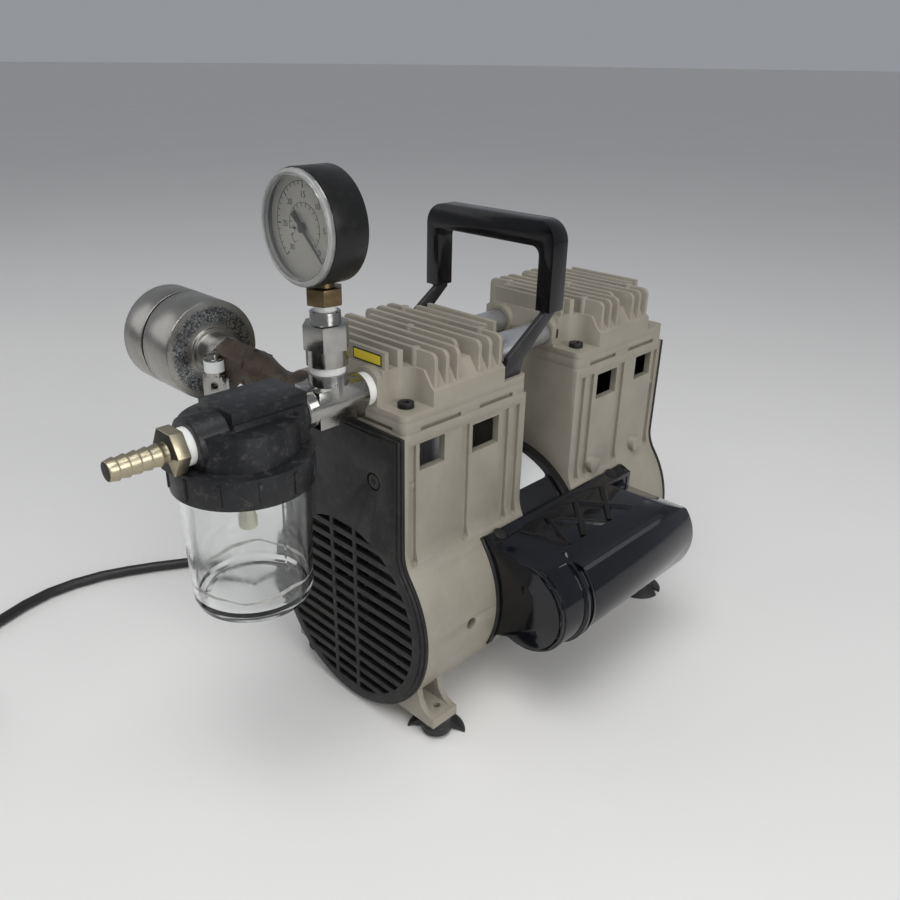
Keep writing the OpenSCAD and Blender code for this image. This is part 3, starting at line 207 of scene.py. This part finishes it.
# Look of each material slot: arguments of surface()
LOOKS = {
    "cast_taupe": dict(colour=(0.272, 0.250, 0.200), rough=0.44, vary=0.10, vary_scale=28, bump=0.30,
                       bump_scale=1500, dust=0.14),
    "black_cover": dict(colour=(0.011, 0.0105, 0.010), rough=0.48, vary=0.3, bump=0.25, bump_scale=1400,
                        dust=0.05, spec=0.32),
    "black_steel": dict(colour=(0.004, 0.0045, 0.007), rough=0.09, vary=0.3, rough_vary=0.04, bump=0.05,
                        bump_scale=260, coat=0.1, spec=0.42),
    "motor_black": dict(colour=(0.006, 0.006, 0.007), rough=0.24, vary=0.3, bump=0.08, bump_scale=500),
    "copper_wire": dict(colour=(0.45, 0.17, 0.06), rough=0.35, metallic=0.8, bump=0.6, bump_scale=800),
    "rotor_steel": dict(colour=(0.32, 0.32, 0.33), rough=0.4, metallic=1.0, bump=0.2),
    "bright_steel": dict(colour=(0.62, 0.62, 0.63), rough=0.24, metallic=1.0, bump=0.1),
    "spring_steel": dict(colour=(0.7, 0.7, 0.71), rough=0.2, metallic=1.0),
    "cast_grey": dict(colour=(0.42, 0.42, 0.43), rough=0.5, metallic=0.9, bump=0.4),
    "cup_ptfe": dict(colour=(0.20, 0.16, 0.09), rough=0.4, bump=0.1),
    "fan_plastic": dict(colour=(0.045, 0.043, 0.042), rough=0.5, dust=0.3, bump=0.1),
    # Cylinder sleeves: light aluminium, partly real; its near-white, non-metallic colour is also a painted
    # highlight that stands in for the bright reflection of the sleeve seen through the windows
    "sleeve_alu": dict(colour=(0.93, 0.94, 0.93), rough=0.42, vary_scale=160, bump=0.35, bump_scale=1300),
    "tube_alu": dict(colour=(0.55, 0.56, 0.57), rough=0.36, metallic=0.85, vary=0.14, vary_scale=90,
                     bump=0.12),
    "black_screw": dict(colour=(0.03, 0.03, 0.028), rough=0.4, metallic=0.6, vary=0.4, bump=0.3),
    "strap_black": dict(colour=(0.014, 0.014, 0.015), rough=0.38, vary=0.3, bump=0.15, dust=0.05),
    "grip_gloss": dict(colour=(0.004, 0.004, 0.005), rough=0.14, rough_vary=0.06, bump=0.04,
                       bump_scale=300, spec=0.36),
    "cap_can": dict(colour=(0.6, 0.61, 0.62), rough=0.3, metallic=1.0),
    "rubber_black": dict(colour=(0.012, 0.012, 0.012), rough=0.55, vary=0.3, bump=0.2, dust=0.06),
    "nickel": dict(colour=(0.33, 0.325, 0.31), rough=0.2, metallic=1.0, vary=0.12, vary_scale=120,
                   rough_vary=0.08, bump=0.15, bump_scale=420),
    "ptfe_tape": dict(colour=(0.72, 0.72, 0.69), rough=0.55, vary=0.08, bump=0.9, bump_scale=420),
    "dark_brass": dict(colour=(0.13, 0.095, 0.050), rough=0.34, metallic=0.9, vary=0.35, vary_scale=130,
                       bump=0.2),
    "brass": dict(colour=(0.40, 0.355, 0.25), rough=0.34, metallic=0.95, vary=0.15, vary_scale=110,
                  bump=0.1),
    "bronze": dict(colour=(0.060, 0.043, 0.030), rough=0.42, metallic=0.55, vary=0.4, vary_scale=90,
                   bump=0.3, dust=0.10),
    "case_black": dict(colour=(0.006, 0.006, 0.006), rough=0.34, vary=0.3, bump=0.08, bump_scale=700,
                       dust=0.03, spec=0.32),
    "dial_grey": dict(colour=(0.56, 0.53, 0.47), rough=0.6, vary=0.08, vary_scale=90),
    "needle_black": dict(colour=(0.03, 0.03, 0.032), rough=0.5),
    "trap_black": dict(colour=(0.009, 0.0095, 0.011), rough=0.38, vary=0.3, bump=0.2, bump_scale=800,
                       dust=0.12, spec=0.34),
    "nozzle_cream": dict(colour=(0.62, 0.61, 0.46), rough=0.45),
    "felt_dark": dict(colour=(0.03, 0.028, 0.025), rough=0.9, bump=0.8, bump_scale=1200),
    "cord_black": dict(colour=(0.010, 0.010, 0.010), rough=0.45, vary=0.3, bump=0.1, dust=0.03),
}
MATERIALS = {name: surface(name, **look) for name, look in LOOKS.items()}
MATERIALS["clear_lens"] = clear_plastic("clear_lens", (0.96, 0.97, 0.97), 0.04, 0.10, 60)
MATERIALS["clear_bowl"] = clear_plastic("clear_bowl", (0.97, 0.98, 0.98), 0.02, 0.22, 45)
MATERIALS["zinc_can"] = spangled_zinc("zinc_can")
LENS_RIM = surface("lens_rim", (0.55, 0.55, 0.53), 0.22, vary=0.08, vary_scale=200, alpha=0.45)
BORE_DARK = surface("bore_dark", (0.03, 0.025, 0.018), 0.6, 0.4)
LABEL_YELLOW = surface("label_yellow", (0.78, 0.63, 0.03), 0.4, vary=0.05)
LABEL_WHITE = surface("label_white", (0.66, 0.67, 0.66), 0.42, vary=0.04)
LABEL_BLACK = surface("label_black", (0.015, 0.015, 0.015), 0.45)
RESIDUE = surface("residue", (0.66, 0.64, 0.60), 0.7, vary=0.2, vary_scale=400, bump=0.5)


# Piece making
def new_object(name, data):
    obj = bpy.data.objects.new(name, data)
    bpy.context.scene.collection.objects.link(obj)
    return obj


def give_material(obj, material):
    obj.data.materials.clear()
    obj.data.materials.append(material)


def add_object(name, data, material):
    obj = new_object(name, data)
    give_material(obj, material)
    return obj


def place(obj, body, slot, *nodes):
    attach(obj, body)
    if nodes:
        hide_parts(*nodes)
    return obj


def smooth(obj, angle=35):
    for poly in obj.data.polygons:
        poly.use_smooth = True
    obj.data.set_sharp_from_angle(angle=math.radians(angle))


def evaluated_mesh(obj):
    graph = bpy.context.evaluated_depsgraph_get()
    return bpy.data.meshes.new_from_object(obj.evaluated_get(graph))


# Angle in degrees from which an edge of a CAD node is rounded and stays sharp in the shading
ROUND_FROM = 32


def soft_edges(node, width):
    """Stands for a CAD node with the same solid, its edges rounded by width in millimetres."""
    material = MATERIALS[NODE_SLOT[node]]
    mesh = frame["nodes"][node].data.copy()
    bm = bmesh.new()
    bm.from_mesh(mesh)
    bmesh.ops.remove_doubles(bm, verts=bm.verts, dist=1e-6)
    bmesh.ops.dissolve_limit(bm, angle_limit=math.radians(1.0), verts=bm.verts, edges=bm.edges,
                             delimit={"NORMAL"})
    bm.to_mesh(mesh)
    bm.free()
    obj = add_object(node + "_body", mesh, material)
    bevel = obj.modifiers.new("round", "BEVEL")
    bevel.width = width * MM
    bevel.segments = 2
    bevel.limit_method = "ANGLE"
    bevel.angle_limit = math.radians(ROUND_FROM)
    rounded = evaluated_mesh(obj)
    obj.modifiers.clear()
    obj.data = rounded
    give_material(obj, material)
    smooth(obj, ROUND_FROM)
    return place(obj, NODE_BODY[node], NODE_SLOT[node], node)


def mesh_piece(name, verts, faces, material, body, slot):
    mesh = bpy.data.meshes.new(name)
    mesh.from_pydata(verts, [], faces)
    bm = bmesh.new()
    bm.from_mesh(mesh)
    bmesh.ops.recalc_face_normals(bm, faces=bm.faces)
    bm.to_mesh(mesh)
    bm.free()
    obj = add_object(name, mesh, material)
    smooth(obj)
    return place(obj, body, slot)


def loft(name, rings, material, body, slot, closed=False):
    """Skins a row of rings that have the same number of points, with flat ends or closed to a loop."""
    n = len(rings[0])
    verts = [p for ring in rings for p in ring]
    faces = []
    rows = len(rings) if closed else len(rings) - 1
    for i in range(rows):
        a = i * n
        b = ((i + 1) % len(rings)) * n
        for k in range(n):
            k2 = (k + 1) % n
            faces.append((a + k, a + k2, b + k2, b + k))
    if not closed:
        faces.append(tuple(reversed(range(n))))
        faces.append(tuple(range((len(rings) - 1) * n, len(rings) * n)))
    return mesh_piece(name, verts, faces, material, body, slot)


def lathe(name, centre, axis, profile, material, body, slot, count=72):
    """Turns a closed profile of (radius, place along the axis) in millimetres round an axis at centre."""
    rings = []
    for i in range(count):
        a = 2 * math.pi * i / count
        c, s = math.cos(a), math.sin(a)
        ring = []
        for r, t in profile:
            step = {"Y": (r * c, t, r * s), "Z": (r * c, r * s, t)}[axis]
            ring.append(at(*(centre[k] + step[k] for k in range(3))))
        rings.append(ring)
    return loft(name, rings, material, body, slot, closed=True)


def plates(name, outlines, material, body, slot):
    """Thin plates: each is a front outline and a back outline of as many points, as points in metres."""
    verts, faces = [], []
    for front, back in outlines:
        n = len(front)
        start = len(verts)
        verts += list(front) + list(back)
        faces.append(tuple(range(start, start + n)))
        faces.append(tuple(range(start + 2 * n - 1, start + n - 1, -1)))
        for k in range(n):
            k2 = (k + 1) % n
            faces.append((start + k2, start + k, start + n + k, start + n + k2))
    return mesh_piece(name, verts, faces, material, body, slot)


# Camera at the photograph's place
CAMERA_PLACE = (310.4, -365.4, 345.2)
CAMERA_TURN, CAMERA_DOWN, CAMERA_ROLL = 44.98, 25.55, 0.63


def make_camera():
    data = bpy.data.cameras.new("camera")
    cam = new_object("camera", data)
    data.sensor_width = 36.0
    data.lens = 33.33
    data.shift_x = 0.0243
    data.shift_y = 0.0096
    data.clip_start = 0.01
    data.clip_end = 200
    turn = Matrix.Rotation(math.radians(CAMERA_TURN), 4, "Z")
    tilt = Matrix.Rotation(math.radians(90 - CAMERA_DOWN), 4, "X")
    roll = Matrix.Rotation(math.radians(CAMERA_ROLL), 4, "Z")
    cam.matrix_world = Matrix.Translation(at(*CAMERA_PLACE)) @ turn @ tilt @ roll
    bpy.context.scene.camera = cam


make_camera()


# Power cord: free stretch, then a stored coil, as one spline
CORD_D = 7.0
FLOOR_GAP = 0.2
FLAT_Z = CORD_D / 2 + FLOOR_GAP
COIL_C = (-150.0, -330.0)
COIL_TURNS = 3
COIL_STEP = CORD_D + 0.7
COIL_R0 = 46.0
TURN_POINTS = 24
COIL_POINTS = 2 * COIL_TURNS * TURN_POINTS
TAIL_STEP = 8.0
TAIL_POINTS = 5
# The free stretch from the motor to the coil, point by point as in the CAD
ROUTE = [
    (-88, 0, 36), (-91, 0, 36), (-97, -4, 33.5), (-104, -9, 28.5), (-112, -14, 21),
    (-122, -22, 13), (-133, -32, 7),
    (-145, -45, 4.2), (-158, -63, FLAT_Z), (-170, -82, FLAT_Z), (-181, -101, FLAT_Z), (-192, -120, FLAT_Z),
    (-202, -137, FLAT_Z), (-211, -155, FLAT_Z), (-218, -172, FLAT_Z), (-222, -190, FLAT_Z),
    (-223, -208, FLAT_Z), (-220, -226, FLAT_Z), (-214, -244, FLAT_Z), (-208, -262, FLAT_Z),
    (-202, -280, FLAT_Z), (-198, -298, FLAT_Z), (-196, -314, FLAT_Z), (-196, -330, FLAT_Z),
]


def coil_point(i):
    """The coil winds inward on the floor, climbs one step over half a turn and winds outward on top."""
    inward = i if i <= COIL_POINTS / 2 else COIL_POINTS - i
    radius = COIL_R0 - COIL_STEP * inward / TURN_POINTS
    half_turn = TURN_POINTS / 2
    climb = min(1.0, max(0.0, (i - COIL_POINTS / 2 + half_turn / 2) / half_turn))
    a = math.radians(180 + i * 360 / TURN_POINTS)
    return (COIL_C[0] + radius * math.cos(a), COIL_C[1] + radius * math.sin(a), FLAT_Z + COIL_STEP * climb)


def cord_points():
    last = coil_point(COIL_POINTS)
    tail = [(last[0], last[1] - k * TAIL_STEP, last[2]) for k in range(1, TAIL_POINTS + 1)]
    return ROUTE + [coil_point(i) for i in range(1, COIL_POINTS + 1)] + tail


def make_cord():
    data = bpy.data.curves.new("power_cord_flex", "CURVE")
    data.dimensions = "3D"
    data.bevel_depth = CORD_D / 2 * MM
    data.bevel_resolution = 4
    data.use_fill_caps = True
    points = cord_points()
    spline = data.splines.new("POLY")
    spline.points.add(len(points) - 1)
    for p, q in zip(spline.points, points):
        p.co = (*at(*q), 1)
    obj = add_object("power_cord_flex", data, MATERIALS["cord_black"])
    return place(obj, "base", "cord_black", "power_cord", "cord_coil")


flex = make_cord()
relief = soft_edges("strain_relief", 1.0)
plug = soft_edges("mains_plug", 1.2)


# CAD pieces with rounded edges, in millimetres; the other nodes only get their material
EDGES = {
    "housing_front": 0.7, "housing_rear": 0.7, "fan_cover_front": 0.5, "fan_cover_rear": 0.5,
    "cover_screws": 0.3, "stator": 0.6, "valve_plate_front": 0.45, "valve_plate_rear": 0.45,
    "head_front": 0.7, "head_rear": 0.7, "head_screws": 0.35, "transfer_tubes": 0.2, "handle_strap": 0.4,
    "capacitor_screws": 0.4, "cover_gasket": 0.4, "capacitor_cover": 1.2, "suction_feet": 0.3,
    "pipe_cross": 0.6, "thread_tape": 0.35, "gauge_adapter": 0.35, "gauge_stem": 0.35, "gauge_case": 0.5,
    "trap_head": 1.2, "hose_barb": 0.25, "branch_fitting": 0.5, "relief_valve": 0.4, "filter_cap": 2.2,
    "filter_can": 1.6, "handle_grip": 2.6, "cylinder_sleeves": 0.1,
}
dressed = {node: soft_edges(node, width) for node, width in EDGES.items()}
for node, obj in frame["nodes"].items():
    if node not in dressed and obj.type == "MESH":
        give_material(obj, MATERIALS[NODE_SLOT[node]])
        smooth(obj)


# Hose barb: its bore is coloured a dark brown-black
BARB_BORE_R = 3.1
barb = dressed["hose_barb"].data
barb.materials.append(BORE_DARK)
for poly in barb.polygons:
    off = poly.center - at(PORT_X, 0, PORT_Z)
    poly.material_index = 1 if math.hypot(off.x, off.z) < BARB_BORE_R * MM else 0


# Gauge: rim of the lens, and the dial's scale with plain numbers
DIAL_START = -45.0
DIAL_SWEEP = 270.0
DIAL_TOP = 30
NUMBER_EVERY = 5
MARK_T = 0.12
SCALE_R, RIM_R = 18.9, 19.2
INNER_SCALE_R, INNER_RIM_R = 10.2, 10.4
LONG_TICK_R, SHORT_TICK_R, INNER_TICK_R = 16.2, 17.4, 8.6
LONG_TICK_HALF, SHORT_TICK_HALF, INNER_TICK_HALF = 0.28, 0.14, 0.12
INNER_TICK_EVERY = 2
NUMBER_R, NUMBER_SIZE = 13.4, 3.6


def dial_angle(value):
    return math.radians(DIAL_START + DIAL_SWEEP * value / DIAL_TOP)


def dial_point(r, a, lift=0.0):
    return at(PORT_X + r * math.cos(a), DIAL_Y - lift, GAUGE_Z + r * math.sin(a))


def dial_bar(r0, r1, a, half):
    """A tick between two radii at the angle a; half is half its width in millimetres."""
    out = Vector((math.cos(a), 0, math.sin(a)))
    side = Vector((math.sin(a), 0, -math.cos(a))) * half * MM
    corners = [(r0, 1), (r1, 1), (r1, -1), (r0, -1)]

    def ring(lift):
        middle = at(PORT_X, DIAL_Y - lift, GAUGE_Z)
        return [middle + out * r * MM + side * w for r, w in corners]
    return ring(MARK_T), ring(-MARK_T)


def dial_arc(r0, r1, count=54):
    """A thin circle's part between radii r0 and r1, over the sweep of the scale."""
    parts = []
    for i in range(count):
        a0 = dial_angle(DIAL_TOP * i / count)
        a1 = dial_angle(DIAL_TOP * (i + 1) / count)
        corners = [(r0, a0), (r1, a0), (r1, a1), (r0, a1)]
        parts.append(([dial_point(r, a, MARK_T) for r, a in corners],
                      [dial_point(r, a, -MARK_T) for r, a in corners]))
    return parts


def dial_numbers():
    upright = Matrix.Rotation(math.pi / 2, 4, "X")
    for value in range(0, DIAL_TOP + 1, NUMBER_EVERY):
        curve = bpy.data.curves.new("number", "FONT")
        curve.body = str(value)
        curve.size = NUMBER_SIZE * MM
        curve.extrude = MARK_T * MM
        curve.align_x = "CENTER"
        curve.align_y = "CENTER"
        text = new_object("number_text", curve)
        mesh = evaluated_mesh(text)
        mesh.transform(Matrix.Translation(dial_point(NUMBER_R, dial_angle(value))) @ upright)
        bpy.data.objects.remove(text)
        number = add_object("dial_number_%02d" % value, mesh, MATERIALS["needle_black"])
        place(number, "base", "needle_black")


marks = dial_arc(SCALE_R, RIM_R) + dial_arc(INNER_SCALE_R, INNER_RIM_R)
for value in range(DIAL_TOP + 1):
    if value % NUMBER_EVERY == 0:
        marks.append(dial_bar(LONG_TICK_R, SCALE_R, dial_angle(value), LONG_TICK_HALF))
    else:
        marks.append(dial_bar(SHORT_TICK_R, SCALE_R, dial_angle(value), SHORT_TICK_HALF))
for value in range(0, DIAL_TOP + 1, INNER_TICK_EVERY):
    marks.append(dial_bar(INNER_TICK_R, INNER_SCALE_R, dial_angle(value), INNER_TICK_HALF))
plates("dial_marks", marks, MATERIALS["needle_black"], "base", "needle_black")
dial_numbers()
lathe("lens_rim", (PORT_X, LENS_Y, GAUGE_Z), "Y",
      [(21.4, 1.1), (21.9, -0.3), (23.0, -0.9), (24.1, -0.5), (24.5, 0.6), (24.5, 2.0), (21.4, 2.0)],
      LENS_RIM, "base", "clear_lens")


# Bare labels: a yellow plate with a black edge on the front fin, a plate on the motor, a band on the valve
FIN_FACE_Y = -110.45
PLATE_X0, PLATE_X1, PLATE_Z0, PLATE_Z1 = 1.9, 23.1, 210.6, 216.7
PLATE_BORDER = 0.8
PLATE_EDGE_T = 0.12
PLATE_T = 0.1
BAND_R, BAND_BACK_R, BAND_Z0, BAND_Z1 = 5.38, 5.1, 197.2, 203.2


def fin_plate(name, inset, y, t, material):
    """A plate of thickness t on the front fin that faces -Y and has its back at y."""
    x0, x1, z0, z1 = PLATE_X0 + inset, PLATE_X1 - inset, PLATE_Z0 + inset, PLATE_Z1 - inset
    corners = [(x0, z0), (x1, z0), (x1, z1), (x0, z1)]
    front, back = [at(x, y - t, z) for x, z in corners], [at(x, y, z) for x, z in corners]
    plates(name, [(front, back)], material, "base", "ptfe_tape")


fin_plate("fin_plate_edge", 0, FIN_FACE_Y, PLATE_EDGE_T, LABEL_BLACK)
fin_plate("fin_plate", PLATE_BORDER, FIN_FACE_Y - PLATE_EDGE_T, PLATE_T, LABEL_YELLOW)


def motor_plate():
    """A thin plate bent round the motor's body between two angles from the top, its corners rounded."""
    first, last, y0, y1, corner = 12.0, 36.0, -16.0, 15.0, 3.0
    back_r, face_r = STATOR_R + 0.05, STATOR_R + 0.2
    span = math.radians(last - first) * STATOR_R
    ends = (0, 0.25, 0.9, 1.8, corner)
    places = [*ends, *(corner + (span - 2 * corner) * k / 8 for k in range(1, 8)),
              *(span - d for d in reversed(ends))]
    rings = []
    for d in places:
        near = min(d, span - d)
        cut = corner - math.sqrt(max(0.0, corner ** 2 - (corner - near) ** 2)) if near < corner else 0.0
        a = math.radians(first) + d / STATOR_R
        rings.append([at(r * math.sin(a), y, SHAFT_Z + r * math.cos(a))
                      for r, y in ((back_r, y0 + cut), (face_r, y0 + cut), (face_r, y1 - cut),
                                   (back_r, y1 - cut))])
    loft("motor_plate", rings, LABEL_WHITE, "base", "ptfe_tape")


motor_plate()
lathe("valve_band", (VALVE_X, VALVE_Y, 0), "Z",
      [(BAND_BACK_R, BAND_Z0), (BAND_R, BAND_Z0), (BAND_R, BAND_Z1), (BAND_BACK_R, BAND_Z1)],
      LABEL_WHITE, "base", "ptfe_tape", 48)


# Drip tip under the trap's nozzle
lathe("nozzle_tip", (PORT_X, TRAP_Y, 0), "Z",
      [(2.1, 166.2), (3.7, 166.2), (3.7, 158.0), (4.3, 157.0), (4.3, 152.4), (3.8, 151.6), (2.1, 151.6)],
      MATERIALS["nozzle_cream"], "base", "nozzle_cream", 40)


# Dried line of residue inside the bowl, whose inner wall opens a little towards the top
RESIDUE_Z = 127.5
WALL_R, WALL_Z, WALL_SLOPE = 25.8, 121.2, 0.0256


def residue_line():
    rings = []
    count = 120
    for i in range(count):
        a = 2 * math.pi * i / count
        z = RESIDUE_Z + 0.7 * math.sin(3 * a + 0.6) + 0.6 * math.sin(5 * a + 1.4) + 0.3 * math.sin(11 * a)
        width = 0.8 + 0.35 * math.sin(4 * a + 2.0)
        wall = WALL_R + (z - WALL_Z) * WALL_SLOPE
        ring = [at(PORT_X + r * math.cos(a), TRAP_Y + r * math.sin(a), z + dz)
                for r, dz in ((wall - 0.02, -width), (wall - 0.3, 0), (wall + 0.01, width))]
        rings.append(ring)
    loft("bowl_residue", rings, RESIDUE, "bowl", "clear_bowl", closed=True)


residue_line()


# Pressed crown over the capacitor can, and crossed ribs on the cover's sloping top beside it
COVER_X, COVER_Z, COVER_SLOPE = 57.0, 103.0, 0.088
CAN_X, CAN_Z, CROWN_R = 79.0, 74.0, 30.05
LIP_X, RIB_END_X = 58.5, 83.5
RIB_HALF, RIB_H = 2.6, 1.5
# A rib's section: places across it and heights above the cover's top
RIB_SECTION = [(-RIB_HALF, -0.4), (-RIB_HALF * 0.55, RIB_H * 0.8), (0, RIB_H),
               (RIB_HALF * 0.55, RIB_H * 0.8), (RIB_HALF, -0.4)]
# Places along the shaft of each rib's end at the lip and its end at the crown
RIB_ENDS = [(-39, -26), (-14, -26), (-14, 10), (14, -12), (16, 38), (42, 14)]


def cover_top(x):
    return COVER_Z - COVER_SLOPE * (x - COVER_X)


def cover_ribs():
    verts, faces = [], []
    n = len(RIB_SECTION)
    for y0, y1 in RIB_ENDS:
        length = math.hypot(RIB_END_X - LIP_X, y1 - y0)
        sx, sy = -(y1 - y0) / length, (RIB_END_X - LIP_X) / length
        start = len(verts)
        for x, y in ((LIP_X, y0), (RIB_END_X, y1)):
            for w, h in RIB_SECTION:
                verts.append(at(x + w * sx, y + w * sy, cover_top(x) + h))
        for k in range(n - 1):
            faces.append((start + k, start + k + 1, start + n + k + 1, start + n + k))
        faces.append((start + n - 1, start, start + n, start + 2 * n - 1))
        faces.append(tuple(start + k for k in reversed(range(n))))
        faces.append(tuple(start + n + k for k in range(n)))
    mesh_piece("cover_ribs", verts, faces, MATERIALS["black_steel"], "base", "black_steel")


def cover_crown():
    """The can's round top where it stands above the cover's slope, sunk into the slope at both ends."""
    rings = []
    for y, lift in ((-36, 0.05), (-34.5, 0.6), (-32, 1.0), (40, 1.0), (46, 0.75), (50, 0.3), (53, 0.05)):
        ring = []
        for a in (44, 50, 56, 62, 68, 73, 77):
            x = CAN_X + CROWN_R * math.cos(math.radians(a))
            z = CAN_Z + CROWN_R * math.sin(math.radians(a))
            low = cover_top(x)
            ring.append(at(x, y, low + (z - low) * lift))
        for x, above in ((84.3, 1.2 * lift), (83.0, -0.3), (100.0, -1.5)):
            ring.append(at(x, y, cover_top(x) + above))
        rings.append(ring)
    loft("cover_crown", rings, MATERIALS["black_steel"], "base", "black_steel")


cover_crown()
cover_ribs()


# Floor and light, in metres
FLOOR_HALF = 60.0


def make_stage():
    mesh = bpy.data.meshes.new("floor")
    r = FLOOR_HALF
    mesh.from_pydata([(-r, -r, 0), (r, -r, 0), (r, r, 0), (-r, r, 0)], [], [(0, 1, 2, 3)])
    pale = surface("floor_pale", (0.80, 0.79, 0.77), 0.55, vary=0.015, vary_scale=3)
    add_object("floor", mesh, pale)


def area_light(name, position, target, size, power):
    """A square light of the given side in metres, turned to the target."""
    data = bpy.data.lights.new(name, "AREA")
    data.shape = "SQUARE"
    data.size = size
    data.energy = power
    obj = new_object(name, data)
    obj.location = position
    obj.rotation_euler = (Vector(target) - Vector(position)).to_track_quat("-Z", "Y").to_euler()


def make_world():
    world = bpy.data.worlds.new("studio")
    world.use_nodes = True
    background = world.node_tree.nodes["Background"]
    background.inputs["Color"].default_value = (0.86, 0.89, 0.95, 1)
    background.inputs["Strength"].default_value = 0.34
    bpy.context.scene.world = world


make_stage()
make_world()
area_light("key", (0.3, -0.5, 1.5), (0.0, 0.0, 0.1), 1.0, 13.0)
area_light("side", (1.35, -0.15, 0.75), (0.0, 0.0, 0.12), 0.8, 9.0)
area_light("fill", (-1.2, -0.9, 0.8), (0.0, 0.0, 0.12), 1.0, 2.5)
bpy.context.scene.view_settings.view_transform = "Standard"
